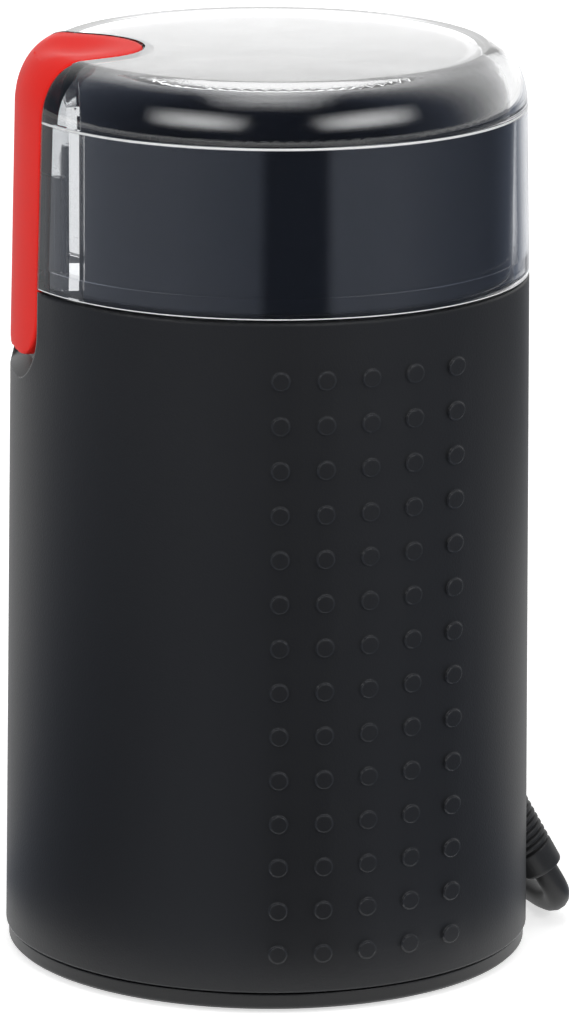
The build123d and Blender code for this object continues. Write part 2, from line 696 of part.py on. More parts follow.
with BuildPart() as lever_fittings:
    leg_low = lid_low + LEVER_TRAVEL + SLIDE_GAP
    leg_high = lid_low + LEG_HEIGHT
    leg_outer = slot_half_width - RAIL_PROUD - SLIDE_GAP
    wing_front = rail_back + SEAT_GAP
    lever_back = -(lid_radius(lid_low) - LEVER_WALL - LEG_WALL)
    for side in (-1, 1):
        inner, outer = side * (leg_outer - LEG_WALL), side * leg_outer
        block((min(inner, outer), max(inner, outer)), (lever_back - LEG_WALL, wing_front + WING_WALL),
              (leg_low, leg_high))
        wing_tip = side * LEVER_HALF_WIDTH
        block((min(inner, wing_tip), max(inner, wing_tip)), (wing_front, wing_front + WING_WALL),
              (leg_low, leg_high))
    pusher_low = body_top + PLUNGER_PROUD + SEAT_GAP
    pusher_front = -(lid_radius(rim) - LEVER_WALL / 2)
    block((-PUSHER_HALF_WIDTH, PUSHER_HALF_WIDTH), (pusher_front, partition_front - SLIDE_GAP),
          (pusher_low, pusher_low + PUSHER_HEIGHT))

with BuildPart() as lever:
    add(press_lever.part)
    add(lever_fittings.part)

# Switch train: plunger, spring, bracket, micro switch and its button
plunger_top = body_top + PLUNGER_PROUD
flange_top = guide_low - RUN_GAP
button_top = bracket_under - SEAT_GAP - LEVER_TRAVEL + BUTTON_TRAVEL
switch_top = button_top - BUTTON_TRAVEL - RUN_GAP
plunger_low = button_top + LEVER_TRAVEL - BUTTON_TRAVEL + RUN_GAP
switch_low = switch_top - SWITCH_HEIGHT
switch_back = switch_y + SWITCH_WIDTH / 2
switch_front = switch_y - SWITCH_WIDTH / 2
switch_middle = switch_low + SWITCH_HEIGHT / 2
switch_screw_places = [(-SWITCH_SCREW_X, switch_middle), (SWITCH_SCREW_X, switch_middle)]
with BuildPart() as switch_plunger:
    posts([(0, switch_y)], PLUNGER_RADIUS, plunger_low, plunger_top)
    fillet(edges().group_by(Axis.Z)[-1], EDGE_ROUND)
    posts([(0, switch_y)], PLUNGER_FLANGE_RADIUS, flange_top - PLUNGER_FLANGE, flange_top)


def spring_place(share):
    """Centre of the return spring's wire at a share of its turns."""
    angle = 2 * math.pi * SPRING_TURNS * share
    low = bracket_top + SPRING_WIRE / 2 + FIT_GAP
    high = bracket_top + SPRING_LENGTH - SPRING_WIRE / 2 - FIT_GAP
    return Vector(
        SPRING_MEAN_RADIUS * math.cos(angle),
        switch_y + SPRING_MEAN_RADIUS * math.sin(angle),
        low + share * (high - low),
    )


with BuildPart() as return_spring:
    with BuildLine():
        spring_points, spring_ways = wound_path(spring_place, SPRING_TURNS)
    with BuildSketch(Plane(origin=spring_points[0], z_dir=spring_ways[0])):
        Circle(SPRING_WIRE / 2)
    sweep()

with BuildPart() as switch_bracket:
    tab_inner = switch_back + BRACKET_WALL
    plate_front = switch_y - BRACKET_EDGE
    block((-BRACKET_HALF_WIDTH, BRACKET_HALF_WIDTH), (plate_front, tab_inner), (bracket_under, bracket_top))
    block((-SWITCH_LENGTH / 2, SWITCH_LENGTH / 2), (switch_back, tab_inner), (switch_low, bracket_top))
    posts([(0, switch_y)], PLUNGER_RADIUS + RUN_GAP, bracket_under, bracket_top, mode=Mode.SUBTRACT)
    posts(bracket_places, SMALL_SCREW_RADIUS + RUN_GAP, bracket_under, bracket_top, mode=Mode.SUBTRACT)
    with BuildSketch(Plane.XZ.offset(-tab_inner)):
        with Locations(*switch_screw_places):
            Circle(SMALL_SCREW_RADIUS)
    extrude(amount=BRACKET_WALL, mode=Mode.SUBTRACT)

with BuildPart() as bracket_screws:
    posts(bracket_places, SMALL_HEAD_RADIUS, bracket_under - SMALL_HEAD_HEIGHT, bracket_under)
    posts(bracket_places, SMALL_SCREW_RADIUS - FIT_GAP, bracket_under,
          bracket_top + SMALL_SCREW_LENGTH - SEAT_GAP)

with BuildPart() as micro_switch:
    block((-SWITCH_LENGTH / 2, SWITCH_LENGTH / 2), (switch_front, switch_back), (switch_low, switch_top))
    fillet(edges().filter_by(Axis.Y), EDGE_ROUND)
    for x in (-SWITCH_LENGTH / 2 + TERMINAL_WIDTH, 0, SWITCH_LENGTH / 2 - TERMINAL_WIDTH):
        block((x - TERMINAL_WIDTH / 2, x + TERMINAL_WIDTH / 2),
              (switch_y - TERMINAL_WALL / 2, switch_y + TERMINAL_WALL / 2),
              (switch_low - TERMINAL_LENGTH, switch_low))
    posts([(0, switch_y)], BUTTON_RADIUS + RUN_GAP, button_top - BUTTON_HEIGHT - BUTTON_TRAVEL, switch_top,
          mode=Mode.SUBTRACT)
    with BuildSketch(Plane.XZ.offset(-switch_back)):
        with Locations(*switch_screw_places):
            Circle(SMALL_SCREW_RADIUS + RUN_GAP)
    extrude(amount=SWITCH_WIDTH, mode=Mode.SUBTRACT)

with BuildPart() as switch_button:
    posts([(0, switch_y)], BUTTON_RADIUS, button_top - BUTTON_HEIGHT, button_top)

with BuildPart() as switch_screws:
    with BuildSketch(Plane.XZ.offset(-tab_inner)):
        with Locations(*switch_screw_places):
            Circle(SMALL_SCREW_RADIUS - FIT_GAP)
    extrude(amount=BRACKET_WALL + SWITCH_WIDTH)
    with BuildSketch(Plane.XZ.offset(-switch_front)):
        with Locations(*switch_screw_places):
            Circle(SMALL_HEAD_RADIUS)
    extrude(amount=SMALL_HEAD_HEIGHT)

# Motor frame: two brackets with bearing bosses and legs that clamp the stator
bolt_circle = STATOR_RADIUS - YOKE / 2
bolt_places = around(bolt_circle, 2, first=0.0)
boss_radius = BEARING_RADIUS + BEARING_BOSS_WALL
with BuildPart() as upper_bracket:
    ring(0, boss_radius, upper_plate_top - BEARING_LENGTH, upper_plate_top)
    block((-bolt_circle, bolt_circle), (-boss_radius, boss_radius), (upper_plate_under, upper_plate_top))
    posts(mount_places, GROMMET_RADIUS, upper_plate_under, upper_plate_top)
    for x, y in mount_places:
        with BuildSketch(Plane.XY.offset(upper_plate_under)):
            with BuildLine():
                Line((0, 0), (x, y))
            trace(line_width=2 * GROMMET_RADIUS)
        extrude(amount=MOTOR_PLATE)
    posts(bolt_places, LEG_RADIUS, stator_top, upper_plate_top)
    posts([(0, 0)], BEARING_RADIUS + FIT_GAP, upper_plate_top - BEARING_LENGTH, upper_plate_top,
          mode=Mode.SUBTRACT)
    posts(bolt_places, BOLT_RADIUS, stator_top, upper_plate_top, mode=Mode.SUBTRACT)
    posts(mount_places, SCREW_RADIUS, upper_plate_under, upper_plate_top, mode=Mode.SUBTRACT)

holder_half = BRUSH_WIDTH / 2 + HOLDER_WALL
holder_inner = COMMUTATOR_RADIUS + 2 * HOLDER_WALL
holder_outer = holder_inner + HOLDER_LENGTH
commutator_top = stator_low - WINDING_OVERHANG - SEAT_GAP
commutator_low = commutator_top - COMMUTATOR_LENGTH
brush_level = (commutator_top + commutator_low) / 2
holder_low = brush_level - BRUSH_HEIGHT / 2 - HOLDER_WALL
holder_high = brush_level + BRUSH_HEIGHT / 2 + HOLDER_WALL
lower_boss_top = lower_plate_under + BEARING_LENGTH
with BuildPart() as lower_bracket:
    ring(0, boss_radius, lower_plate_under, lower_boss_top)
    block((-bolt_circle, bolt_circle), (-boss_radius, boss_radius), (lower_plate_under, lower_plate_top))
    block((-holder_half, holder_half), (-holder_outer, holder_outer), (lower_plate_under, lower_plate_top))
    for side in (-1, 1):
        near, far = side * holder_inner, side * holder_outer
        block((-holder_half, holder_half), (min(near, far), max(near, far)), (lower_plate_under, holder_low))
    posts(bolt_places, LEG_RADIUS, lower_plate_under, stator_low)
    posts([(0, 0)], BEARING_RADIUS + FIT_GAP, lower_plate_under, lower_boss_top, mode=Mode.SUBTRACT)
    posts(bolt_places, BOLT_RADIUS + RUN_GAP, lower_plate_under, stator_low, mode=Mode.SUBTRACT)

with BuildPart() as upper_bearing:
    ring(SHAFT_RADIUS + FIT_GAP, BEARING_RADIUS, upper_plate_top - BEARING_LENGTH, upper_plate_top)

with BuildPart() as lower_bearing:
    ring(SHAFT_RADIUS + FIT_GAP, BEARING_RADIUS, lower_plate_under, lower_boss_top)

with BuildPart() as motor_bolts:
    posts(bolt_places, SCREW_HEAD_RADIUS, lower_plate_under - SCREW_HEAD_HEIGHT, lower_plate_under)
    posts(bolt_places, BOLT_RADIUS - FIT_GAP, lower_plate_under, upper_plate_top)

with BuildPart() as motor_grommets:
    posts(mount_places, GROMMET_RADIUS, upper_plate_top, floor_under)
    posts(mount_places, SCREW_RADIUS + RUN_GAP, upper_plate_top, floor_under, mode=Mode.SUBTRACT)

with BuildPart() as mount_screws:
    posts(mount_places, SCREW_HEAD_RADIUS, floor_top - SCREW_HEAD_HEIGHT, floor_top - EDGE_ROUND)
    posts(mount_places, SCREW_RADIUS - FIT_GAP, upper_plate_under, floor_top - SCREW_HEAD_HEIGHT)

# Stator: round laminated yoke with two poles, and a coil round each pole
bore = ARMATURE_RADIUS + AIR_GAP
yoke_inner = STATOR_RADIUS - YOKE
with BuildSketch() as pole_shoes:
    Circle(bore + SHOE_THICKNESS)
    Rectangle(far_out, SHOE_WIDTH, mode=Mode.INTERSECT)

with BuildPart() as stator_core:
    with BuildSketch(Plane.XY.offset(stator_low)):
        Circle(STATOR_RADIUS)
        Circle(yoke_inner, mode=Mode.SUBTRACT)
        Rectangle(2 * (yoke_inner + YOKE / 2), POLE_WIDTH)
        add(pole_shoes.sketch_local)
        Circle(bore, mode=Mode.SUBTRACT)
    extrude(amount=STATOR_STACK)
    posts(bolt_places, BOLT_RADIUS + RUN_GAP, stator_low, stator_top, mode=Mode.SUBTRACT)

with BuildPart() as field_coils:
    coil_inner = bore + SHOE_THICKNESS + SLIDE_GAP
    with BuildSketch(Plane.XY.offset(stator_low - WINDING_OVERHANG)):
        Rectangle(2 * yoke_inner, SHOE_WIDTH)
        Circle(yoke_inner - SLIDE_GAP, mode=Mode.INTERSECT)
        Circle(coil_inner, mode=Mode.SUBTRACT)
    extrude(amount=STATOR_STACK + 2 * WINDING_OVERHANG)
    block((-far_out, far_out), (-POLE_WIDTH / 2 - SLIDE_GAP, POLE_WIDTH / 2 + SLIDE_GAP),
          (stator_low - SLIDE_GAP, stator_top + SLIDE_GAP), mode=Mode.SUBTRACT)

# Rotor: shaft, armature, commutator, fan and washers
blade_radius = bowl_radius - BLADE_GAP
blade_bend = blade_radius / 2
blade_low = bowl_floor + BLADE_ABOVE_FLOOR
blade_top = blade_low + BLADE_STEEL
shaft_low = lower_plate_under - SCREW_HEAD_HEIGHT
with BuildPart() as motor_shaft:
    ring(0, SHAFT_RADIUS, shaft_low, blade_low)
    ring(0, SHAFT_TIP_RADIUS, blade_low, blade_top + NUT_HEIGHT - NUT_CAP)

slot_middle = (SLOT_FLOOR + ARMATURE_RADIUS - TOOTH_TIP) / 2
slot_depth = ARMATURE_RADIUS - TOOTH_TIP - SLOT_FLOOR
with BuildPart() as armature_core:
    with BuildSketch(Plane.XY.offset(stator_low)):
        Circle(ARMATURE_RADIUS)
        Circle(SHAFT_RADIUS + FIT_GAP, mode=Mode.SUBTRACT)
        with PolarLocations(slot_middle, SLOT_COUNT):
            Rectangle(slot_depth, SLOT_WIDTH, mode=Mode.SUBTRACT)
        with PolarLocations(ARMATURE_RADIUS, SLOT_COUNT):
            Rectangle(2 * TOOTH_TIP + WINDING_GAP, SLOT_MOUTH, mode=Mode.SUBTRACT)
    extrude(amount=STATOR_STACK)

winding_low = stator_low - WINDING_OVERHANG
winding_high = stator_top + WINDING_OVERHANG
winding_outer = ARMATURE_RADIUS - TOOTH_TIP - WINDING_GAP
with BuildPart() as armature_winding:
    ring(SHAFT_RADIUS + 2 * WINDING_GAP, winding_outer, winding_low, stator_low - WINDING_GAP)
    ring(SHAFT_RADIUS + 2 * WINDING_GAP, winding_outer, stator_top + WINDING_GAP, winding_high)
    fillet(edges().group_by(Axis.Z)[0] + edges().group_by(Axis.Z)[-1], EDGE_ROUND)
    with BuildSketch(Plane.XY.offset(winding_low + WINDING_OVERHANG / 2)):
        with PolarLocations(slot_middle, SLOT_COUNT):
            Rectangle(slot_depth - 2 * WINDING_GAP, SLOT_WIDTH - 2 * WINDING_GAP)
    extrude(amount=STATOR_STACK + WINDING_OVERHANG)

with BuildPart() as commutator:
    with BuildSketch(Plane.XY.offset(commutator_low)):
        Circle(COMMUTATOR_RADIUS)
        Circle(SHAFT_RADIUS + FIT_GAP, mode=Mode.SUBTRACT)
        with PolarLocations(COMMUTATOR_RADIUS, SLOT_COUNT):
            Rectangle(2 * COMMUTATOR_GROOVE, COMMUTATOR_GROOVE, mode=Mode.SUBTRACT)
    extrude(amount=COMMUTATOR_LENGTH)

with BuildPart() as thrust_washers:
    ring(SHAFT_RADIUS + FIT_GAP, WASHER_RADIUS, lower_boss_top + RUN_GAP, commutator_low - RUN_GAP)
    ring(SHAFT_RADIUS + FIT_GAP, WASHER_RADIUS, upper_plate_top + RUN_GAP, upper_plate_top + GROMMET_HEIGHT)

fan_low = winding_high + SEAT_GAP
with BuildPart() as cooling_fan:
    ring(SHAFT_RADIUS + FIT_GAP, WASHER_RADIUS + FAN_PLATE, fan_low, fan_low + FAN_HEIGHT)
    ring(SHAFT_RADIUS + FIT_GAP, FAN_RADIUS, fan_low, fan_low + FAN_PLATE)
    with BuildSketch(Plane.XY.offset(fan_low)):
        with PolarLocations((FAN_RADIUS + WASHER_RADIUS) / 2, FAN_BLADES):
            Rectangle(FAN_RADIUS - WASHER_RADIUS - FAN_PLATE, FAN_BLADE_WALL)
    extrude(amount=FAN_HEIGHT)

# Brushes: holders on the lower bracket, carbon brushes, springs and caps
brush_inner = COMMUTATOR_RADIUS + RUN_GAP
brush_outer = brush_inner + BRUSH_LENGTH


def both_sides(x, near, far, z, mode=Mode.ADD):
    """The same box on both sides of the shaft, between two distances along Y."""
    block(x, (near, far), z, mode)
    block(x, (-far, -near), z, mode)


with BuildPart() as brush_holders:
    both_sides((-holder_half, holder_half), holder_inner, holder_outer, (holder_low, holder_high))
    half_bore = BRUSH_WIDTH / 2 + RUN_GAP
    both_sides((-half_bore, half_bore), holder_inner, holder_outer,
               (brush_level - BRUSH_HEIGHT / 2 - RUN_GAP, brush_level + BRUSH_HEIGHT / 2 + RUN_GAP),
               mode=Mode.SUBTRACT)

with BuildPart() as carbon_brushes:
    both_sides((-BRUSH_WIDTH / 2, BRUSH_WIDTH / 2), brush_inner, brush_outer,
               (brush_level - BRUSH_HEIGHT / 2, brush_level + BRUSH_HEIGHT / 2))

with BuildPart() as brush_caps:
    both_sides((-holder_half, holder_half), holder_outer, holder_outer + BRUSH_CAP,
               (holder_low, holder_high))


def brush_spring_place(side):
    """Place function of a brush spring's wire on one side of the shaft."""
    near = brush_outer + SPRING_WIRE / 2 + FIT_GAP
    far = holder_outer - SPRING_WIRE / 2 - FIT_GAP

    def place(share):
        angle = 2 * math.pi * BRUSH_SPRING_TURNS * share
        return Vector(
            BRUSH_SPRING_RADIUS * math.cos(angle),
            side * (near + share * (far - near)),
            brush_level + BRUSH_SPRING_RADIUS * math.sin(angle),
        )

    return place


with BuildPart() as brush_springs:
    for side in (-1, 1):
        with BuildLine():
            wire_points, wire_ways = wound_path(brush_spring_place(side), BRUSH_SPRING_TURNS)
        with BuildSketch(Plane(origin=wire_points[0], z_dir=wire_ways[0])):
            Circle(SPRING_WIRE / 2)
        sweep()

# Grinding blade with raised tips, and its nut
with BuildPart() as blade:
    with BuildSketch(Plane.XZ.offset(-BLADE_WIDTH / 2)):
        with BuildLine():
            Polyline(
                (-blade_radius, blade_low + BLADE_RISE),
                (-blade_bend, blade_low),
                (blade_bend, blade_low),
                (blade_radius, blade_low + BLADE_RISE),
                (blade_radius, blade_top + BLADE_RISE),
                (blade_bend, blade_top),
                (-blade_bend, blade_top),
                (-blade_radius, blade_top + BLADE_RISE),
                close=True,
            )
        make_face()
    extrude(amount=BLADE_WIDTH)
    posts([(0, 0)], blade_radius, bowl_floor, collar_top, mode=Mode.INTERSECT)
    posts([(0, 0)], SHAFT_TIP_RADIUS + FIT_GAP, bowl_floor, collar_top, mode=Mode.SUBTRACT)

with BuildPart() as blade_nut:
    with BuildSketch(Plane.XY.offset(blade_top)):
        RegularPolygon(NUT_RADIUS, 6)
    extrude(amount=NUT_HEIGHT)
    fillet(edges().group_by(Axis.Z)[-1], EDGE_ROUND)
    posts([(0, 0)], SHAFT_TIP_RADIUS + FIT_GAP, blade_top, blade_top + NUT_HEIGHT - NUT_CAP,
          mode=Mode.SUBTRACT)

# Interference capacitor on the base plate
with BuildPart() as interference_capacitor:
    with BuildSketch(Plane.XY.offset(base_top)):
        with Locations(CAPACITOR_PLACE):
            Rectangle(CAPACITOR_SIZE[0], CAPACITOR_SIZE[1])
    extrude(amount=CAPACITOR_SIZE[2])
    fillet(edges().filter_by(Axis.Z), EDGE_ROUND)

# Strain relief: ribbed cone that leans out of the wall and down
with BuildPart() as strain_relief:
    with BuildSketch(boot_plane):
        with BuildLine():
            outline = [(0, 0), (boot_radius(0), 0)]
            for i in range(BOOT_GROOVES):
                near = BOOT_FIRST_GROOVE + i * BOOT_GROOVE_PITCH
                far = near + BOOT_GROOVE_WIDTH
                outline += [
                    (boot_radius(near), near),
                    (boot_radius(near) - BOOT_GROOVE_DEPTH, near),
                    (boot_radius(far) - BOOT_GROOVE_DEPTH, far),
                    (boot_radius(far), far),
                ]
            outline += [(boot_radius(BOOT_LENGTH), BOOT_LENGTH), (0, BOOT_LENGTH)]
            Polyline(*outline, close=True)
        make_face()
    revolve(axis=boot_axis)

# Lead: from the strain relief round behind the body to the coil
coil_low = CORD_RADIUS + TIE_WALL + TIE_GAP + RUN_GAP
coil_start = Vector(coil_centre[0] + COIL_OUTER_RADIUS, coil_centre[1], coil_low)
lead_end = coil_start + Vector(0, 2 * CORD_RADIUS, 0)
lead_route = [
    Vector(boot_mouth),
    Vector(boot_mouth) - boot_way * LEAD_EXIT,
    Vector(-2.6, BODY_RADIUS_LOW + 6.9, 4.6),
    Vector(-7.6, BODY_RADIUS_LOW + 6.1, 2.8),
    Vector(-15.0, BODY_RADIUS_LOW + 4.4, 2.5),
    Vector(-26.0, BODY_RADIUS_LOW + 1.3, 2.5),
    lead_end + Vector(21.0, 32.2, -0.45),
    lead_end + Vector(10.5, 24.7, -0.35),
    lead_end + Vector(3.4, 15.7, -0.15),
    lead_end + Vector(0.0, 7.8, 0.0),
    lead_end,
]


def bend_radii(route):
    """Radius at each corner: as large as the shorter of its two runs allows."""
    radii = []
    for before, corner, after in zip(route, route[1:], route[2:]):
        turn = math.radians((corner - before).get_angle(after - corner))
        shorter = min((corner - before).length, (after - corner).length)
        radii.append(0.45 * shorter / math.tan(turn / 2))
    return radii


lead_radii = bend_radii(lead_route)
print("lead radii", [round(r, 1) for r in lead_radii])
with BuildPart() as power_cord:
    with BuildLine() as lead_path:
        FilletPolyline(*lead_route, radius=lead_radii)
    with BuildSketch(Plane(origin=lead_route[0], z_dir=lead_route[1] - lead_route[0])):
        Circle(CORD_RADIUS)
    sweep()
lead_length = sum(edge.length for edge in lead_path.edges())
lead_section = math.pi * CORD_RADIUS**2
lead_share = power_cord.part.volume / lead_section / lead_length
print("lead length", round(lead_length, 1), "volume share", round(lead_share, 4))

# Coil: spirals in on the floor, climbs a layer in half a turn, and spirals out on top
coil_turns = 2 * COIL_TURNS + 0.5


def coil_place(share):
    """Centre of the lead at a share of the coil's turns, wound clockwise from above."""
    turned_by = coil_turns * share
    climb = min(max((turned_by - COIL_TURNS) / 0.5, 0.0), 1.0)
    inwards = min(turned_by, COIL_TURNS + 0.25)
    outwards = max(turned_by - COIL_TURNS - 0.25, 0.0)
    release = min(max((turned_by - coil_turns) / 0.5 + 1.0, 0.0), 1.0)
    radius = COIL_OUTER_RADIUS - COIL_PITCH * (inwards - outwards)
    radius += COIL_RELEASE * (3 - 2 * release) * release**2
    angle = -2 * math.pi * turned_by
    return Vector(
        coil_centre[0] + radius * math.cos(angle),
        coil_centre[1] + radius * math.sin(angle),
        coil_low + LAYER_RISE * (3 - 2 * climb) * climb**2,
    )


print("coil gap", round(least_gap(coil_place, coil_turns, CORD_RADIUS), 2))
print("spring gap", round(least_gap(spring_place, SPRING_TURNS, SPRING_WIRE / 2), 2))
print("brush spring gap", round(least_gap(brush_spring_place(1), BRUSH_SPRING_TURNS, SPRING_WIRE / 2), 2))
coil_high = coil_low + LAYER_RISE
coil_end = coil_place(1.0)
plug_rear = coil_end + Vector(0, 2 * CORD_RADIUS, 0)
with BuildPart() as cord_coil:
    with BuildLine() as coil_path:
        Line(lead_end, coil_start)
        wound_path(coil_place, coil_turns, last_way=Vector(0, 1, 0))
        Line(coil_end, plug_rear)
    with BuildSketch(Plane(origin=lead_end, z_dir=(0, -1, 0))):
        Circle(CORD_RADIUS)
    sweep()
coil_length = sum(edge.length for edge in coil_path.edges())
coil_share = cord_coil.part.volume / lead_section / coil_length
print("coil length", round(coil_length, 1), "volume share", round(coil_share, 4))

# Tie round the coil's turns, on its +Y side
tie_inner = COIL_OUTER_RADIUS - COIL_PITCH * (COIL_TURNS + 0.25) - CORD_RADIUS - TIE_GAP
tie_outer = COIL_OUTER_RADIUS + CORD_RADIUS + TIE_GAP
tie_low = coil_low - CORD_RADIUS - TIE_GAP
tie_high = coil_high + CORD_RADIUS + TIE_GAP
tie_y = (coil_centre[1] + tie_inner, coil_centre[1] + tie_outer)
tie_x = (coil_centre[0] - TIE_WIDTH / 2, coil_centre[0] + TIE_WIDTH / 2)
with BuildPart() as cord_tie:
    block(tie_x, (tie_y[0] - TIE_WALL, tie_y[1] + TIE_WALL), (tie_low - TIE_WALL, tie_high + TIE_WALL))
    block(tie_x, tie_y, (tie_low, tie_high), mode=Mode.SUBTRACT)

# Two-pin plug at the coil's end
plug_face = plug_rear.Y + PLUG_NECK + PLUG_LENGTH
plug_low = coil_high - PLUG_THICKNESS / 2
with BuildPart() as plug_body:
    with BuildSketch(Plane.XY.offset(plug_low)):
        with BuildLine():
            Polyline(
                (plug_rear.X - PLUG_REAR_HALF_WIDTH, plug_rear.Y + PLUG_NECK),
                (plug_rear.X + PLUG_REAR_HALF_WIDTH, plug_rear.Y + PLUG_NECK),
                (plug_rear.X + PLUG_FACE_HALF_WIDTH, plug_face - PLUG_LENGTH / 3),
                (plug_rear.X + PLUG_FACE_HALF_WIDTH, plug_face),
                (plug_rear.X - PLUG_FACE_HALF_WIDTH, plug_face),
                (plug_rear.X - PLUG_FACE_HALF_WIDTH, plug_face - PLUG_LENGTH / 3),
                close=True,
            )
        make_face()
    extrude(amount=PLUG_THICKNESS)
    fillet(edges().filter_by(Axis.Z), PLUG_ROUND)
    fillet(faces().filter_by(Axis.Z).edges(), PLUG_ROUND / 2)
    with BuildSketch(Plane.XZ.offset(-plug_rear.Y - PLUG_NECK - PLUG_ROUND)):
        with Locations((plug_rear.X, coil_high)):
            Circle(PLUG_NECK_RADIUS)
    extrude(amount=PLUG_NECK + PLUG_ROUND)

with BuildPart() as plug_pins:
    with BuildSketch(Plane.XZ.offset(-plug_face - PIN_LENGTH)):
        with Locations((plug_rear.X, coil_high)):
            with GridLocations(PIN_SPACING, 0, 2, 1):
                Circle(PIN_RADIUS)
    extrude(amount=PIN_LENGTH)
    fillet(edges().group_by(Axis.Y)[-1], PIN_RADIUS / 2)

pieces = {
    "outer_body": outer_body,
    "base_plate": base_plate,
    "rubber_feet": rubber_feet,
    "base_screws": base_screws,
    "bowl_housing": bowl_housing,
    "housing_screws": housing_screws,
    "grinding_bowl": grinding_bowl,
    "shaft_seal": shaft_seal,
    "lid": lid,
    "lever": lever,
    "switch_plunger": switch_plunger,
    "return_spring": return_spring,
    "switch_bracket": switch_bracket,
    "bracket_screws": bracket_screws,
    "micro_switch": micro_switch,
    "switch_button": switch_button,
    "switch_screws": switch_screws,
    "upper_bracket": upper_bracket,
    "lower_bracket": lower_bracket,
    "upper_bearing": upper_bearing,
    "lower_bearing": lower_bearing,
    "motor_bolts": motor_bolts,
    "motor_grommets": motor_grommets,
    "mount_screws": mount_screws,
    "stator_core": stator_core,
    "field_coils": field_coils,
    "motor_shaft": motor_shaft,
    "armature_core": armature_core,
    "armature_winding": armature_winding,
    "commutator": commutator,
    "thrust_washers": thrust_washers,
    "cooling_fan": cooling_fan,
    "brush_holders": brush_holders,
    "carbon_brushes": carbon_brushes,
    "brush_springs": brush_springs,
    "brush_caps": brush_caps,
    "blade": blade,
    "blade_nut": blade_nut,
    "interference_capacitor": interference_capacitor,
    "strain_relief": strain_relief,
    "power_cord": power_cord,
    "cord_coil": cord_coil,
    "cord_tie": cord_tie,
    "plug_body": plug_body,
    "plug_pins": plug_pins,
}
for name, piece in pieces.items():
    piece.part.label = name
    export_step(piece.part, f"parts/{name}.step")
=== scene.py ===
import math

import bmesh
import bpy
from bpy.props import FloatProperty, FloatVectorProperty, IntProperty, PointerProperty
from mathutils import Matrix, Vector


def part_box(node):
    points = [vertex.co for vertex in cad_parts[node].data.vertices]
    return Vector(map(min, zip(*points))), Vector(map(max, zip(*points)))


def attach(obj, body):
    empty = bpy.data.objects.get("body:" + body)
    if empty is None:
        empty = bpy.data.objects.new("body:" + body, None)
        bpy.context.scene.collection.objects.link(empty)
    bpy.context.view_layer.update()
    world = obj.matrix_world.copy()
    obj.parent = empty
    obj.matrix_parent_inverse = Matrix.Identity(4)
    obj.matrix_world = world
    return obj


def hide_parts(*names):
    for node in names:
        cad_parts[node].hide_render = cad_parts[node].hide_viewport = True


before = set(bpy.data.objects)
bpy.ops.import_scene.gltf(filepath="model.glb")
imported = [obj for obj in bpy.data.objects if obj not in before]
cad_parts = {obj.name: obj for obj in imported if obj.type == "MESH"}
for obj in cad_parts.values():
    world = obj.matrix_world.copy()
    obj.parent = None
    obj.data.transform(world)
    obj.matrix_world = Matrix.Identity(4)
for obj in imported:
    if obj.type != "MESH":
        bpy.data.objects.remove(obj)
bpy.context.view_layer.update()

bl_info = {
    "name": "Coffee grinder",
    "version": (1, 0, 0),
    "blender": (4, 5, 0),
    "location": "3D View > Sidebar > Grinder",
    "description": "Dresses the packed coffee grinder: finishes, press lever, lead and stage",
    "category": "Object",
}

LEVER_LOW, LEVER_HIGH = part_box("lever")
LID_LOW, LID_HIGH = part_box("lid")


def length(name, description, default):
    """A size in metres, shown with its unit."""
    return FloatProperty(name=name, description=description, default=default, min=0.0,
                         unit="LENGTH", precision=4)


def count(name, description, default):
    """A whole number of at least one."""
    return IntProperty(name=name, description=description, default=default, min=1)


def colour(name, description, default):
    """A linear colour with a colour field."""
    return FloatVectorProperty(name=name, description=description, default=default, size=3,
                               min=0.0, max=1.0, subtype="COLOR")


class GrinderSizes(bpy.types.PropertyGroup):
    """Sizes of the pieces that this file shapes itself."""

    lever_half_width: length("Lever half width", "Half the width of the lever's wall", LEVER_HIGH.x)
    lever_wall: length("Lever wall", "Thickness of the lever's wall and tongue", 0.0028)
    shoulder_width: length("Shoulder width", "Reach of the round shoulder of lid and lever", 0.007)
    shoulder_rise: length("Shoulder rise", "Height of the round shoulder of lid and lever", 0.0106)
    lid_draft: length("Lid draft", "How much the lid's wall leans in up to its rim", 0.00075)
    # The rim and edge beads are near-white, not clear: painted highlight lines along the lid.
    rim_bead: length("Rim bead", "Thickness of the frosted bead at the lid's rim", 0.0005)
    edge_bead: length("Edge bead", "Thickness of the frosted bead at the lid's lower edge", 0.00022)
    lever_corner: length("Lever corner", "Radius of the lever's lower corners", 0.008)
    edge_passes: count("Edge passes", "How often the lever's edges are smoothed", 14)
    dish_depth: length("Dish depth", "Depth of the thumb's oval dish in the tongue", 0.0009)
    tongue_tip: length("Tongue tip", "Distance of the tongue's tip from the axis", -LEVER_HIGH.y)
    tongue_tip_radius: length("Tongue tip radius", "Radius of the tongue's round tip", 0.0135)
    tongue_root: length("Tongue root", "Distance from the axis to the tongue's full width", 0.040)
    boot_length: length("Strain relief length", "Length of the strain relief along its axis", 0.022)
    boot_mouth: length("Strain relief mouth", "Radius of the strain relief at its mouth", 0.0038)
    boot_root: length("Strain relief root", "Radius of the strain relief inside the wall", 0.0054)
    rib_start: length("First groove", "Distance of the first groove from the mouth", 0.0050)
    rib_pitch: length("Groove pitch", "Distance from groove to groove", 0.00128)
    rib_depth: length("Groove depth", "Depth of the grooves on the strain relief", 0.0006)
    rib_count: count("Grooves", "Number of grooves on the strain relief", 7)
    cord_diameter: length("Lead diameter", "Outside diameter of the mains lead", 0.0048)
    coil_radius: length("Coil radius", "Radius of the coil's outer turn", 0.031)
    coil_pitch: length("Coil pitch", "Distance from turn to turn", 0.00535)
    coil_rise: length("Coil rise", "Height from the first layer to the second", 0.0053)
    coil_release: length("Coil release", "How far the last half turn opens out", 0.012)
    coil_turns: count("Coil turns", "Turns in each layer", 2)


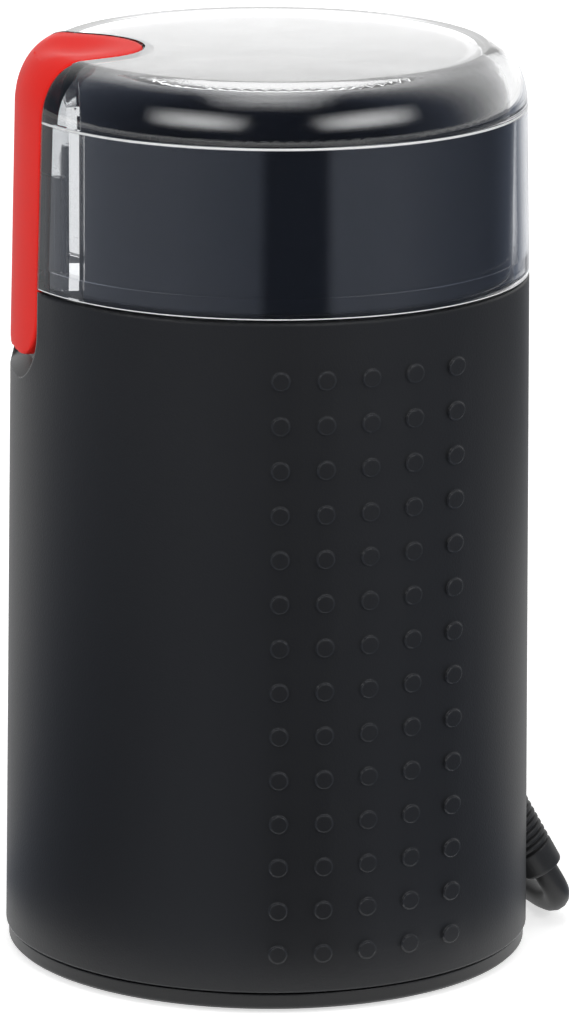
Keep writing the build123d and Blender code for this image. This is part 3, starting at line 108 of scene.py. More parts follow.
class GrinderColours(bpy.types.PropertyGroup):
    """Base colours of the finishes."""

    charcoal: colour("Charcoal", "Grained plastic of the body", (0.0088, 0.0093, 0.0108))
    black: colour("Black", "Satin plastic of the base", (0.0040, 0.0042, 0.0050))
    gloss: colour("Blue-black", "Glossy collar inside the lid", (0.0066, 0.0080, 0.0138))
    lever_red: colour("Lever red", "Satin plastic of the press lever", (0.95, 0.026, 0.019))
    clear: colour("Clear", "Tint of the clear lid", (0.975, 0.98, 0.985))
    rubber: colour("Rubber", "Lead, strain relief, plug, feet and seals", (0.0160, 0.0163, 0.0172))
    steel: colour("Steel", "Bowl, blade, shaft and springs", (0.62, 0.61, 0.59))
    zinc: colour("Zinc", "Plated screws and bolts", (0.55, 0.56, 0.58))
    alloy: colour("Alloy", "Cast motor brackets", (0.52, 0.53, 0.54))
    sheet: colour("Sheet steel", "Stamped sheets of the motor's cores", (0.30, 0.30, 0.31))
    copper: colour("Copper", "Enamelled windings", (0.55, 0.20, 0.08))
    bare_copper: colour("Bare copper", "Commutator", (0.70, 0.36, 0.18))
    bronze: colour("Bronze", "Motor bearings", (0.50, 0.30, 0.10))
    brass: colour("Brass", "Brush holders", (0.66, 0.47, 0.16))
    nickel: colour("Nickel", "Plated pins of the plug", (0.62, 0.58, 0.48))
    carbon: colour("Carbon", "Motor brushes", (0.03, 0.03, 0.032))
    nylon: colour("Nylon", "Fan, washers and plunger", (0.66, 0.65, 0.60))
    resin: colour("Resin", "Case of the capacitor", (0.60, 0.36, 0.03))
    floor: colour("Floor", "The pale floor", (0.90, 0.90, 0.90))


# Shader maths


class Value:
    """One socket of a shader tree; a sum written with it adds its Math nodes."""

    def __init__(self, recipe, socket):
        self.recipe = recipe
        self.socket = socket

    def worked(self, operation, first, second):
        """The result of a Math node with two inputs."""
        return self.recipe.node("ShaderNodeMath", {"operation": operation}, {
            0: first, 1: second})["Value"]

    def __add__(self, other):
        return self.worked("ADD", self, other)

    def __sub__(self, other):
        return self.worked("SUBTRACT", self, other)

    def __mul__(self, other):
        return self.worked("MULTIPLY", self, other)

    def __radd__(self, other):
        return self.worked("ADD", other, self)

    def __rsub__(self, other):
        return self.worked("SUBTRACT", other, self)

    def __rmul__(self, other):
        return self.worked("MULTIPLY", other, self)


class Recipe:
    """A node tree under construction, of a material or of the world."""

    def __init__(self, owner):
        self.owner = owner
        owner.use_nodes = True
        self.tree = owner.node_tree
        self.tree.nodes.clear()

    def node(self, kind, settings=None, inputs=None):
        """Add a node: its settings first, then the values or links of its sockets."""
        node = self.tree.nodes.new(kind)
        for key, value in (settings or {}).items():
            if key == "stops":
                for stop in range(len(value) - 2):
                    node.color_ramp.elements.new(0.5)
                for element, (place, shade) in zip(node.color_ramp.elements, value):
                    element.position = place
                    element.color = (*shade, 1.0)
            else:
                setattr(node, key, value)
        for key, value in (inputs or {}).items():
            if isinstance(value, Value):
                self.tree.links.new(value.socket, node.inputs[key])
            else:
                node.inputs[key].default_value = value
        return {output.name: Value(self, output) for output in node.outputs if output.enabled}

    def place(self):
        """The point of the surface in the object's own frame, in metres."""
        return self.node("ShaderNodeTexCoord")["Object"]

    def stretched(self, scale):
        """The point of the surface with each axis scaled."""
        return self.node("ShaderNodeMapping", {}, {
            "Vector": self.place(), "Scale": scale})["Vector"]

    def noise(self, scale, detail=3.0, rough=0.5, at=None):
        """Cloudy noise from 0 to 1."""
        return self.node("ShaderNodeTexNoise", {}, {
            "Vector": at or self.place(), "Scale": scale, "Detail": detail,
            "Roughness": rough})["Fac"]

    def shade(self, share, low, high):
        """A colour between two colours, each of them a socket or three numbers."""
        ends = [end if isinstance(end, Value) else (*end, 1.0) for end in (low, high)]
        return self.node("ShaderNodeMix", {"data_type": "RGBA"}, {
            0: share, 6: ends[0], 7: ends[1]})["Result"]

    def soft_edges(self, radius):
        """Normals that round the sharp edges of a moulding."""
        return self.node("ShaderNodeBevel", {"samples": 6}, {"Radius": radius})["Normal"]

    def rims(self, rounded):
        """How far rounded normals turn from the face: 0 on flats, 1 on sharp edges."""
        sharpness = 4.0
        face = self.node("ShaderNodeNewGeometry")["Normal"]
        facing = self.node("ShaderNodeVectorMath", {"operation": "DOT_PRODUCT"}, {
            0: rounded, 1: face})["Value"]
        return self.node("ShaderNodeMath", {"operation": "MULTIPLY", "use_clamp": True}, {
            0: 1.0 - facing, 1: sharpness})["Value"]

    def bump(self, height, depth, normal=None):
        """Normals raised by a height from 0 to 1."""
        inputs = {"Height": height, "Distance": depth, "Strength": 1.0}
        if normal:
            inputs["Normal"] = normal
        return self.node("ShaderNodeBump", {}, inputs)["Normal"]

    def plain(self, **sockets):
        """Finish with one Principled shader."""
        names = {key.replace("_", " "): value for key, value in sockets.items()}
        return self.finish(self.node("ShaderNodeBsdfPrincipled", {}, names)["BSDF"])

    def finish(self, shader):
        """Lead a shader to the material's output."""
        self.node("ShaderNodeOutputMaterial", {}, {"Surface": shader})
        return self.owner


def tint(base, factor):
    """A lighter or darker shade of a colour."""
    return tuple(min(1.0, channel * factor) for channel in base)


def material(name):
    """The recipe of a new material."""
    return Recipe(bpy.data.materials.new(name))


def grained_plastic(name, base, grain=2600.0, depth=0.000035, rough=0.46):
    """Moulded plastic with a fine spark-eroded grain, smoother along its edges, where a painted
    highlight also makes it paler.
    """
    made = material(name)
    fine = made.noise(grain, 2.0)
    broad = made.noise(22.0, 3.0)
    rounded = made.soft_edges(0.0005)
    rim = made.rims(rounded)
    skin = made.shade(0.6 * broad + 0.4 * fine, tint(base, 0.8), tint(base, 1.25))
    return made.plain(
        # Edges mixed towards 4.5 times the base colour: a painted highlight on rims and dots; the
        # lower roughness there is a real gloss.
        Base_Color=made.shade(rim, skin, tint(base, 4.5)),
        Roughness=rough - 0.04 + 0.06 * broad + 0.06 * fine - 0.3 * rim,
        Normal=made.bump(fine, depth, rounded),
        Specular_IOR_Level=0.45,
    )


def smooth_plastic(name, base, rough, wave=0.00003):
    """Moulded plastic with a smooth face, slight sink marks and a few rubbed spots."""
    made = material(name)
    sink = made.noise(45.0, 2.0)
    rub = made.noise(700.0, 4.0, 0.6)
    return made.plain(
        Base_Color=made.shade(0.7 * sink + 0.3 * rub, tint(base, 0.88), tint(base, 1.12)),
        Roughness=rough - 0.03 + 0.06 * rub,
        Normal=made.bump(0.8 * sink + 0.2 * rub, wave, made.soft_edges(0.0003)),
    )


def satin_plastic(name, base):
    """Coloured moulding with a fine satin skin."""
    made = material(name)
    skin = made.noise(3000.0, 2.0)
    cloud = made.noise(60.0, 3.0)
    return made.plain(
        Base_Color=made.shade(0.6 * cloud + 0.4 * skin, tint(base, 0.93), tint(base, 1.06)),
        Roughness=0.44 + 0.06 * cloud + 0.04 * skin,
        Normal=made.bump(skin, 0.000006),
        Specular_IOR_Level=0.05,
    )


def clear_plastic(name, base):
    """Clear lid plastic: faint flow waves and hairline wear."""
    made = material(name)
    flow = made.noise(60.0, 2.0)
    wear = made.noise(900.0, 3.0, at=made.stretched((1.0, 1.0, 0.06)))
    return made.plain(
        Base_Color=made.shade(flow, tint(base, 0.99), base),
        Roughness=0.008 + 0.012 * wear,
        Normal=made.bump(flow, 0.00001),
        IOR=1.49,
        Transmission_Weight=1.0,
    )


def highlight_bead_plastic(name, base):
    """Plastic of the lid's tint that is not see-through, with a noisy rough skin: near-white, it
    paints the bright highlight lines on the lid.
    """
    made = material(name)
    rub = made.noise(2200.0, 3.0)
    return made.plain(
        Base_Color=made.shade(rub, tint(base, 0.86), tint(base, 0.98)),
        Roughness=0.25 + 0.15 * rub,
        Normal=made.bump(rub, 0.00001),
        IOR=1.49,
    )


def rubber(name, base):
    """Soft black rubber with a dry, slightly dusty skin."""
    made = material(name)
    skin = made.noise(1800.0, 3.0)
    dust = made.noise(120.0, 4.0, 0.6)
    return made.plain(
        Base_Color=made.shade(0.5 * skin + 0.5 * dust, tint(base, 0.75), tint(base, 1.5)),
        Roughness=0.42 + 0.14 * dust,
        Normal=made.bump(skin, 0.00002, made.soft_edges(0.0002)),
    )


def drawn_metal(name, base, rough, along=(1.0, 1.0, 0.03), grain=1500.0):
    """Metal with fine lines across the stretched axis."""
    made = material(name)
    lines = made.noise(grain, 3.0, at=made.stretched(along))
    cloud = made.noise(70.0, 3.0)
    return made.plain(
        Base_Color=made.shade(0.6 * lines + 0.4 * cloud, tint(base, 0.8), tint(base, 1.12)),
        Roughness=rough - 0.05 + 0.1 * lines + 0.06 * cloud,
        Metallic=1.0,
        Normal=made.bump(lines, 0.000008, made.soft_edges(0.0002)),
    )


def wound_wire(name, base):
    """Enamelled copper turns laid side by side."""
    made = material(name)
    turns = made.node("ShaderNodeTexWave", {"wave_type": "BANDS", "bands_direction": "DIAGONAL"}, {
        "Vector": made.place(), "Scale": 1400.0 / 6.0, "Distortion": 1.2, "Detail": 2.0})["Fac"]
    cloud = made.noise(160.0, 3.0)
    return made.plain(
        Base_Color=made.shade(0.65 * turns + 0.35 * cloud, tint(base, 0.45), tint(base, 1.2)),
        Roughness=0.3 + 0.15 * cloud,
        Metallic=0.75,
        Normal=made.bump(turns, 0.0002),
    )


def stacked_sheets(name, base):
    """Edges of stamped steel sheets stacked along the axis."""
    made = material(name)
    sheets = made.node("ShaderNodeTexWave", {"wave_type": "BANDS", "bands_direction": "Z"}, {
        "Vector": made.place(), "Scale": 320.0, "Distortion": 0.3})["Fac"]
    rust = made.noise(210.0, 4.0, 0.6)
    return made.plain(
        Base_Color=made.shade(0.6 * sheets + 0.4 * rust, tint(base, 0.5), tint(base, 1.2)),
        Roughness=0.38 + 0.2 * rust,
        Metallic=0.85,
        Normal=made.bump(sheets, 0.00012),
    )


def dress(finish, *nodes):
    """Give CAD nodes a finish in every material slot."""
    for name in nodes:
        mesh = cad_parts[name].data
        mesh.materials.clear()
        mesh.materials.append(finish)


def linked(name, data):
    """A new object with this data, linked into the scene."""
    added = bpy.data.objects.new(name, data)
    bpy.context.scene.collection.objects.link(added)
    return added


def meshed(name, made):
    """The mesh of a finished bmesh, which it frees."""
    mesh = bpy.data.meshes.new(name)
    made.to_mesh(mesh)
    made.free()
    return mesh


def circle(steps):
    """Even steps round a circle, as (cosine, sine)."""
    turns = [2 * math.pi * step / steps for step in range(steps)]
    return [(math.cos(turn), math.sin(turn)) for turn in turns]


def join_loops(made, loops):
    """Fill the faces between each closed loop of vertices and the next."""
    for near, far in zip(loops, loops[1:]):
        for step in range(len(near)):
            ahead = (step + 1) % len(near)
            made.faces.new((near[step], far[step], far[ahead], near[ahead]))


def new_piece(name, mesh, finish, body):
    """Link a mesh as a piece that rides on a body."""
    piece = linked(name, mesh)
    mesh.materials.append(finish)
    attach(piece, body)
    return piece


# Mains lead

COIL_STEPS = 16  # control points for each turn of the coil
BOOT_SLOPE = math.radians(57.0)  # lean of the strain relief from level
BOOT_LIP = 0.0005  # radius of the round lip at its mouth
BOOT_BORE_DEPTH = 0.0020  # how far the mouth is hollow round the lead
BOOT_BORE_ROOM = 0.0002  # room between the lead and that hollow
BOOT_LIP_STEPS, BOOT_ROWS, BOOT_SIDES = 8, 240, 40


def eased(share):
    """A smooth step from 0 to 1, held level outside."""
    share = min(max(share, 0.0), 1.0)
    return (3 - 2 * share) * share**2


def lead_points(sizes):
    """Control points of the lead: out of the strain relief, round behind the body, and wound up."""
    route = [
        (0.0, 0.0513, 0.0111), (0.0, 0.0535058, 0.0077034), (-0.0026, 0.0544, 0.0046),
        (-0.0076, 0.0536, 0.0028), (-0.0150, 0.0519, 0.0025), (-0.0260, 0.0488, 0.0025),
        (-0.0380, 0.0430, 0.0026), (-0.0485, 0.0355, 0.0027), (-0.0556, 0.0265, 0.0029),
        (-0.0590, 0.0186, 0.00305), (-0.0590, 0.0108, 0.00305),
    ]
    centre = Vector((-0.090, 0.006, 0.00305))
    half_turn = 0.5
    whole = 2 * sizes.coil_turns + half_turn
    innermost = sizes.coil_turns + half_turn / 2
    points = [Vector(point) for point in route]
    for step in range(round(whole * COIL_STEPS) + 1):
        turned = step / COIL_STEPS
        inwards = min(turned, innermost)
        outwards = max(turned - innermost, 0.0)
        radius = sizes.coil_radius - sizes.coil_pitch * (inwards - outwards)
        radius += sizes.coil_release * eased((turned - whole) / half_turn + 1.0)
        angle = -2 * math.pi * turned
        lift = sizes.coil_rise * eased((turned - sizes.coil_turns) / half_turn)
        points.append(centre + Vector((radius * math.cos(angle), radius * math.sin(angle), lift)))
    points.append(points[-1] + Vector((0.0, sizes.cord_diameter, 0.0)))
    return points


def boot_rows(sizes):
    """Half section of the strain relief: distance from its mouth along its axis, and radius."""
    rows = [(BOOT_BORE_DEPTH, sizes.cord_diameter / 2 + BOOT_BORE_ROOM)]
    for step in range(BOOT_LIP_STEPS + 1):
        turn = math.pi * step / BOOT_LIP_STEPS
        rows.append((BOOT_LIP - BOOT_LIP * math.sin(turn),
                     sizes.boot_mouth - BOOT_LIP - BOOT_LIP * math.cos(turn)))
    first_groove = sizes.rib_start - sizes.rib_pitch / 2
    last_groove = sizes.rib_start + sizes.rib_pitch * (sizes.rib_count - 0.5)
    for step in range(1, BOOT_ROWS + 1):
        along = BOOT_LIP + (sizes.boot_length - BOOT_LIP) * step / BOOT_ROWS
        radius = sizes.boot_mouth + (sizes.boot_root - sizes.boot_mouth) * along / sizes.boot_length
        if first_groove < along < last_groove:
            wave = math.cos(2 * math.pi * (along - sizes.rib_start) / sizes.rib_pitch)
            radius -= sizes.rib_depth * (0.5 + 0.5 * wave) ** 3
        rows.append((along, radius))
    return rows


def ribbed_boot(sizes, mouth):
    """Strain relief turned about its leaning axis: round lip, smooth mouth, then fine ribs."""
    way = Vector((0.0, -math.cos(BOOT_SLOPE), math.sin(BOOT_SLOPE)))
    side = Vector((1.0, 0.0, 0.0))
    across = way.cross(side)
    made = bmesh.new()
    loops = []
    for along, radius in boot_rows(sizes):
        middle = mouth + way * along
        loops.append([made.verts.new(middle + (side * cosine + across * sine) * radius)
                      for cosine, sine in circle(BOOT_SIDES)])
    join_loops(made, loops)
    made.faces.new(loops[0])
    made.faces.new(loops[-1])
    bmesh.ops.recalc_face_normals(made, faces=made.faces)
    mesh = meshed("ribbed_boot", made)
    mesh.shade_smooth()
    return mesh


class GRINDER_OT_lead(bpy.types.Operator):
    """Lay the mains lead as a smooth curve with its strain relief, and dress the tie and plug"""

    bl_idname = "grinder.lead"
    bl_label = "Mains lead"

    def execute(self, context):
        sizes, colours = context.scene.grinder_sizes, context.scene.grinder_colours
        jacket = rubber("lead_jacket", colours.rubber)
        points = lead_points(sizes)
        curve = bpy.data.curves.new("mains_lead", "CURVE")
        curve.dimensions = "3D"
        curve.bevel_depth = sizes.cord_diameter / 2
        curve.bevel_resolution = 5
        curve.use_fill_caps = True
        curve.resolution_u = 6
        spline = curve.splines.new("NURBS")
        spline.points.add(len(points) - 1)
        for point, place in zip(spline.points, points):
            point.co = (*place, 1.0)
        spline.order_u = 3
        spline.use_endpoint_u = True
        curve.materials.append(jacket)
        lead = linked("mains_lead", curve)
        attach(lead, "housing")
        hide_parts("power_cord", "cord_coil")
        boot_finish = rubber("strain_relief_rubber", colours.rubber)
        boot = new_piece("ribbed_boot", ribbed_boot(sizes, points[0]), boot_finish, "housing")
        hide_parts("strain_relief")
        dress(boot_finish, "strain_relief")
        dress(grained_plastic("plug_plastic", colours.rubber, rough=0.4), "plug_body")
        dress(smooth_plastic("tie_plastic", tint(colours.rubber, 1.4), 0.35), "cord_tie")
        dress(drawn_metal("pin_metal", colours.nickel, 0.2, (1.0, 0.03, 1.0)), "plug_pins")
        return {"FINISHED"}


# Press lever

CORNER_STEPS, WALL_STEPS, SHOULDER_STEPS, TONGUE_STEPS = 16, 12, 20, 24
LEVER_COLUMNS = 24  # faces across the lever's width
LEVER_VOXEL = 0.00032  # grain of the remeshed lever
OUTLINE_STEPS = 40  # points on each stretch of the tongue's outline
TIP_TURN = math.radians(60.0)  # how far the tip's arc runs round to its straight flank
FLANK_RADIUS = 0.00911  # radius of the arc from the flank to the full width
DISH_FROM_TIP = 0.0125  # distance of the dish's middle from the tongue's tip
DISH_HALF_WIDTH, DISH_HALF_LENGTH = 0.0110, 0.0095
HEEL_CHAMFER, HEEL_SLOPE = 0.0008, 0.81  # height and fall of the slope under the lower end
# Legs, wings and foot behind the lever: across, along Y, and above the lid's lower edge
LEG_INSIDE, LEG_OUTSIDE, WING_OUTSIDE = 0.0132, 0.0148, 0.0160
LEG_FRONT, WING_FRONT, LEG_BACK = -0.0430, -0.0381, -0.0374
LEG_FOOT, LEG_TOP = 0.0029, 0.0199
FOOT_LOW, FOOT_HIGH = Vector((-0.006, -0.0436, 0.0031)), Vector((0.006, -0.0375, 0.0060))
FITTING_EDGE = 0.0003


def lever_profile(sizes):
    """Outer profile of the lever from low end to tongue's tip: radius, height, half width."""
    high, low = LEVER_HIGH.z, LEVER_LOW.z
    low_radius = -LEVER_LOW.y
    rim_radius = LID_HIGH.x - sizes.lid_draft
    rim = high - sizes.shoulder_rise
    flat = rim_radius - sizes.shoulder_width
    rows = []
    for step in range(CORNER_STEPS + 1):
        turn = math.pi / 2 * step / CORNER_STEPS
        rise = sizes.lever_corner * (1 - math.cos(turn))
        inset = sizes.lever_corner * (1 - math.sin(turn))
        share = rise / (rim - low)
        rows.append((low_radius + share * (rim_radius - low_radius), low + rise,
                     sizes.lever_half_width - inset))
    for step in range(1, WALL_STEPS + 1):
        height = low + sizes.lever_corner + (rim - low - sizes.lever_corner) * step / WALL_STEPS
        share = (height - low) / (rim - low)
        rows.append((low_radius + share * (rim_radius - low_radius), height,
                     sizes.lever_half_width))
    for step in range(1, SHOULDER_STEPS + 1):
        turn = math.pi / 2 * step / SHOULDER_STEPS
        rows.append((flat + sizes.shoulder_width * math.cos(turn),
                     rim + sizes.shoulder_rise * math.sin(turn), 0.0))
    for step in range(1, TONGUE_STEPS + 1):
        share = math.sin(math.pi / 2 * step / TONGUE_STEPS)
        rows.append((flat + share * (sizes.tongue_tip - flat), high, 0.0))
    outline = tongue_outline(sizes)
    return [(radius, height, half or tongue_half(outline, radius, sizes))
            for radius, height, half in rows]


def tongue_outline(sizes):
    """Half outline of the tongue in plan, from its tip, as (radius from the axis, half width)."""
    middle = sizes.tongue_tip + sizes.tongue_tip_radius
    places = []
    for step in range(OUTLINE_STEPS + 1):
        angle = TIP_TURN * step / OUTLINE_STEPS
        places.append((sizes.tongue_tip_radius * math.sin(angle),
                       middle - sizes.tongue_tip_radius * math.cos(angle)))
    tip_end = Vector(places[-1])
    swing = Vector((sizes.lever_half_width - FLANK_RADIUS, sizes.tongue_root))
    for step in range(1, OUTLINE_STEPS + 1):
        angle = TIP_TURN - math.pi / 2 + (math.pi / 2 - TIP_TURN) * step / OUTLINE_STEPS
        places.append((swing.x + FLANK_RADIUS * math.cos(angle),
                       swing.y + FLANK_RADIUS * math.sin(angle)))
    flank_start = Vector(places[OUTLINE_STEPS + 1])
    for step in range(1, OUTLINE_STEPS):
        places.append(tuple(tip_end.lerp(flank_start, step / OUTLINE_STEPS)))
    return sorted((math.hypot(x, y), x) for x, y in places)


def tongue_half(outline, radius, sizes):
    """Half width of the tongue at a distance from the axis."""
    if radius >= outline[-1][0]:
        return sizes.lever_half_width
    for (near, narrow), (far, wide) in zip(outline, outline[1:]):
        if near <= radius <= far:
            return narrow + (wide - narrow) * (radius - near) / max(far - near, 1e-9)
    return outline[0][1]


def lever_mesh(sizes):
    """The lever's outer skin as a grid of rows across its width."""
    pointed = 0.0002  # a row narrower than this on each side is one point
    made = bmesh.new()
    grid = []
    for radius, height, half in lever_profile(sizes):
        if half < pointed:
            grid.append([made.verts.new((0.0, -radius, height))] * (LEVER_COLUMNS + 1))
            continue
        line = []
        for column in range(LEVER_COLUMNS + 1):
            x = half * math.sin(math.pi / 2 * (2 * column / LEVER_COLUMNS - 1))
            line.append(made.verts.new((x, -math.sqrt(radius**2 - x**2), height)))
        grid.append(line)
    for lower, upper in zip(grid, grid[1:]):
        for column in range(LEVER_COLUMNS):
            corners = [lower[column], lower[column + 1], upper[column + 1], upper[column]]
            made.faces.new(list(dict.fromkeys(corners)))
    bmesh.ops.recalc_face_normals(made, faces=made.faces)
    outward = sum(face.normal.y * face.calc_area() for face in made.faces)
    if outward > 0:
        bmesh.ops.reverse_faces(made, faces=made.faces)
    return meshed("lever_skin", made)


def softened(name, mesh, modifiers):
    """A mesh with modifiers worked in, given as (kind, settings)."""
    blank = linked(name, mesh)
    for kind, settings in modifiers:
        modifier = blank.modifiers.new(kind.lower(), kind)
        for key, value in settings.items():
            setattr(modifier, key, value)
    worked = blank.evaluated_get(bpy.context.evaluated_depsgraph_get())
    shaped = bpy.data.meshes.new_from_object(worked)
    bpy.data.objects.remove(blank)
    bpy.data.meshes.remove(mesh)
    shaped.name = name
    shaped.shade_smooth()
    return shaped


def thumb_dish(mesh, sizes):
    """Press the shallow oval for the thumb into the tongue."""
    middle = sizes.tongue_tip + DISH_FROM_TIP
    for vert in mesh.vertices:
        share = math.hypot(vert.co.x / DISH_HALF_WIDTH, (vert.co.y + middle) / DISH_HALF_LENGTH)
        if share < 1.0 and vert.co.z > LEVER_HIGH.z - sizes.lever_wall / 2:
            vert.co.z -= sizes.dish_depth * (1 - share**2) ** 2


def clear_recess(mesh, sizes):
    """Keep the back of the lower end off the recess and its sloping floor over the whole press."""
    deepest = -LEVER_LOW.y - sizes.lever_wall
    for vert in mesh.vertices:
        if vert.co.z < LID_LOW.z:
            radius = math.hypot(vert.co.x, vert.co.y)
            if radius < deepest:
                vert.co.x *= deepest / radius
                vert.co.y *= deepest / radius
            chamfer = HEEL_CHAMFER - HEEL_SLOPE * (max(radius, deepest) - deepest)
            vert.co.z = max(vert.co.z, LEVER_LOW.z + chamfer)


def box_mesh(name, boxes):
    """Several boxes, each from its low to its high corner, as one mesh."""
    made = bmesh.new()
    for low, high in boxes:
        for vert in bmesh.ops.create_cube(made, size=1.0)["verts"]:
            vert.co = (low + high) / 2 + Vector(a * b for a, b in zip(vert.co, high - low))
    return meshed(name, made)


def fitting_boxes():
    """The legs with their wings, and the foot between them, as low and high corners."""
    edge = Vector((0.0, 0.0, LID_LOW.z))
    boxes = []
    for side in (-1, 1):
        for outside, front in ((LEG_OUTSIDE, LEG_FRONT), (WING_OUTSIDE, WING_FRONT)):
            left, right = sorted((side * LEG_INSIDE, side * outside))
            boxes.append((edge + Vector((left, front, LEG_FOOT)),
                          edge + Vector((right, LEG_BACK, LEG_TOP))))
    boxes.append((edge + FOOT_LOW, edge + FOOT_HIGH))
    return boxes


class GRINDER_OT_lever(bpy.types.Operator):
    """Shape the red press lever with rounded edges, and the legs and foot behind it"""

    bl_idname = "grinder.lever"
    bl_label = "Press lever"

    def execute(self, context):
        sizes, colours = context.scene.grinder_sizes, context.scene.grinder_colours
        red = satin_plastic("lever_red", colours.lever_red)
        skin = softened("press_lever", lever_mesh(sizes), [
            ("SOLIDIFY", {"thickness": sizes.lever_wall, "offset": -1.0}),
            ("REMESH", {"mode": "VOXEL", "voxel_size": LEVER_VOXEL}),
            ("SMOOTH", {"factor": 0.5, "iterations": sizes.edge_passes})])
        thumb_dish(skin, sizes)
        clear_recess(skin, sizes)
        lever = new_piece("press_lever", skin, red, "lever")
        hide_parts("lever")
        grey = smooth_plastic("fitting_grey", tint(colours.charcoal, 2.0), 0.3)
        blocks = box_mesh("lever_fittings", fitting_boxes())
        fittings = new_piece("lever_fittings", blocks, grey, "lever")
        round_off = fittings.modifiers.new("edge", "BEVEL")
        round_off.width = FITTING_EDGE
        round_off.segments = 2
        return {"FINISHED"}


# Finishes on the CAD nodes, and the lid's near-white beads, painted highlight lines

BEAD_STEPS, BEAD_SIDES = 180, 10
BEAD_SUNK = 0.3  # how far a bead's middle lies inside the lid's face, in thicknesses
BEAD_LIFT = 0.6  # how far the lower bead's middle lies above the lid's edge, in thicknesses
SLOT_ROOM = 0.0006  # room beside the lever where the beads stop


class GRINDER_OT_body(bpy.types.Operator):
    """Finish the dotted body, the base plate and its feet"""

    bl_idname = "grinder.body"
    bl_label = "Body and base"

    def execute(self, context):
        colours = context.scene.grinder_colours
        dress(grained_plastic("body_charcoal", colours.charcoal), "outer_body")
        dress(grained_plastic("base_satin", colours.black, 3200.0, 0.00001, 0.4), "base_plate")
        dress(rubber("foot_rubber", colours.rubber), "rubber_feet")
        return {"FINISHED"}


def open_ring(name, radius, height, thickness, gap):
    """A round bead about the axis, open where the lever's slot interrupts it."""
    made = bmesh.new()
    loops = []
    for step in range(BEAD_STEPS + 1):
        turn = -math.pi / 2 + gap + (2 * math.pi - 2 * gap) * step / BEAD_STEPS
        loop = []
        for cosine, sine in circle(BEAD_SIDES):
            reach = radius + thickness / 2 * cosine
            loop.append(made.verts.new((reach * math.cos(turn), reach * math.sin(turn),
                                        height + thickness / 2 * sine)))
        loops.append(loop)
    join_loops(made, loops)
    made.faces.new(loops[0])
    made.faces.new(reversed(loops[-1]))
    mesh = meshed(name, made)
    mesh.shade_smooth()
    return mesh


class GRINDER_OT_lid(bpy.types.Operator):
    """Finish the clear lid with its near-white beads, painted highlight lines at rim and lower
    edge, and the glossy collar inside it
    """

    bl_idname = "grinder.lid"
    bl_label = "Lid and collar"

    def execute(self, context):
        sizes, colours = context.scene.grinder_sizes, context.scene.grinder_colours
        dress(clear_plastic("lid_clear", colours.clear), "lid")
        # Near-white finish of the beads: a painted highlight along the lid's rim and lower edge.
        bead_highlight = highlight_bead_plastic("lid_bead_highlight", colours.clear)
        edge_radius = LID_HIGH.x
        rim_radius = edge_radius - sizes.lid_draft
        rim = LID_HIGH.z - sizes.shoulder_rise
        edge = LID_LOW.z + BEAD_LIFT * sizes.edge_bead
        gap = math.asin((sizes.lever_half_width + SLOT_ROOM) / rim_radius)
        for name, radius, height, bead in (
                ("lid_rim_bead", rim_radius, rim, sizes.rim_bead),
                ("lid_edge_bead", edge_radius, edge, sizes.edge_bead)):
            ring = open_ring(name, radius - BEAD_SUNK * bead, height, bead, gap)
            piece = new_piece(name, ring, bead_highlight, "lid")
        dress(smooth_plastic("collar_gloss", colours.gloss, 0.14, 0.000006), "bowl_housing")
        return {"FINISHED"}


class GRINDER_OT_bowl(bpy.types.Operator):
    """Finish the steel bowl, the blade and the shaft seal"""

    bl_idname = "grinder.bowl"
    bl_label = "Bowl and blade"

    def execute(self, context):
        colours = context.scene.grinder_colours
        dress(drawn_metal("bowl_steel", colours.steel, 0.2), "grinding_bowl")
        blade_colour = tint(colours.steel, 0.95)
        dress(drawn_metal("blade_steel", blade_colour, 0.26, (1.0, 0.05, 1.0)), "blade")
        dress(drawn_metal("nut_steel", colours.steel, 0.16), "blade_nut")
        dress(rubber("seal_rubber", colours.rubber), "shaft_seal")
        return {"FINISHED"}


class GRINDER_OT_motor(bpy.types.Operator):
    """Finish the motor inside the body"""

    bl_idname = "grinder.motor"
    bl_label = "Motor"

    def execute(self, context):
        colours = context.scene.grinder_colours
        dress(drawn_metal("cast_bracket", colours.alloy, 0.45, (1, 1, 1), 600.0),
              "upper_bracket", "lower_bracket")
        dress(drawn_metal("bearing_bronze", colours.bronze, 0.35), "upper_bearing", "lower_bearing")
        dress(stacked_sheets("core_sheets", colours.sheet), "stator_core", "armature_core")
        dress(wound_wire("winding_copper", colours.copper), "field_coils", "armature_winding")
        dress(drawn_metal("commutator_copper", colours.bare_copper, 0.22), "commutator")
        dress(drawn_metal("shaft_steel", colours.steel, 0.15), "motor_shaft")
        dress(smooth_plastic("fan_nylon", colours.nylon, 0.4), "cooling_fan", "thrust_washers")
        dress(drawn_metal("holder_brass", colours.brass, 0.3, (1, 0.03, 1)), "brush_holders")
        dress(grained_plastic("brush_carbon", colours.carbon, 4000.0, 0.00002, 0.55),
              "carbon_brushes")
        dress(drawn_metal("spring_steel", colours.steel, 0.25), "brush_springs")
        dress(grained_plastic("cap_plastic", tint(colours.charcoal, 2.0)), "brush_caps")
        dress(rubber("grommet_rubber", colours.rubber), "motor_grommets")
        dress(smooth_plastic("capacitor_resin", colours.resin, 0.28), "interference_capacitor")
        return {"FINISHED"}


class GRINDER_OT_switch(bpy.types.Operator):
    """Finish the switch under the lever"""

    bl_idname = "grinder.switch"
    bl_label = "Switch"

    def execute(self, context):
        colours = context.scene.grinder_colours
        dress(smooth_plastic("plunger_nylon", colours.nylon, 0.35), "switch_plunger")
        dress(drawn_metal("return_spring_steel", colours.steel, 0.22), "return_spring")
        dress(grained_plastic("bracket_plastic", tint(colours.charcoal, 2.0)), "switch_bracket")
        dress(smooth_plastic("switch_case", tint(colours.charcoal, 1.2), 0.35), "micro_switch")
        dress(smooth_plastic("button_red", tint(colours.lever_red, 0.9), 0.35), "switch_button")
        return {"FINISHED"}


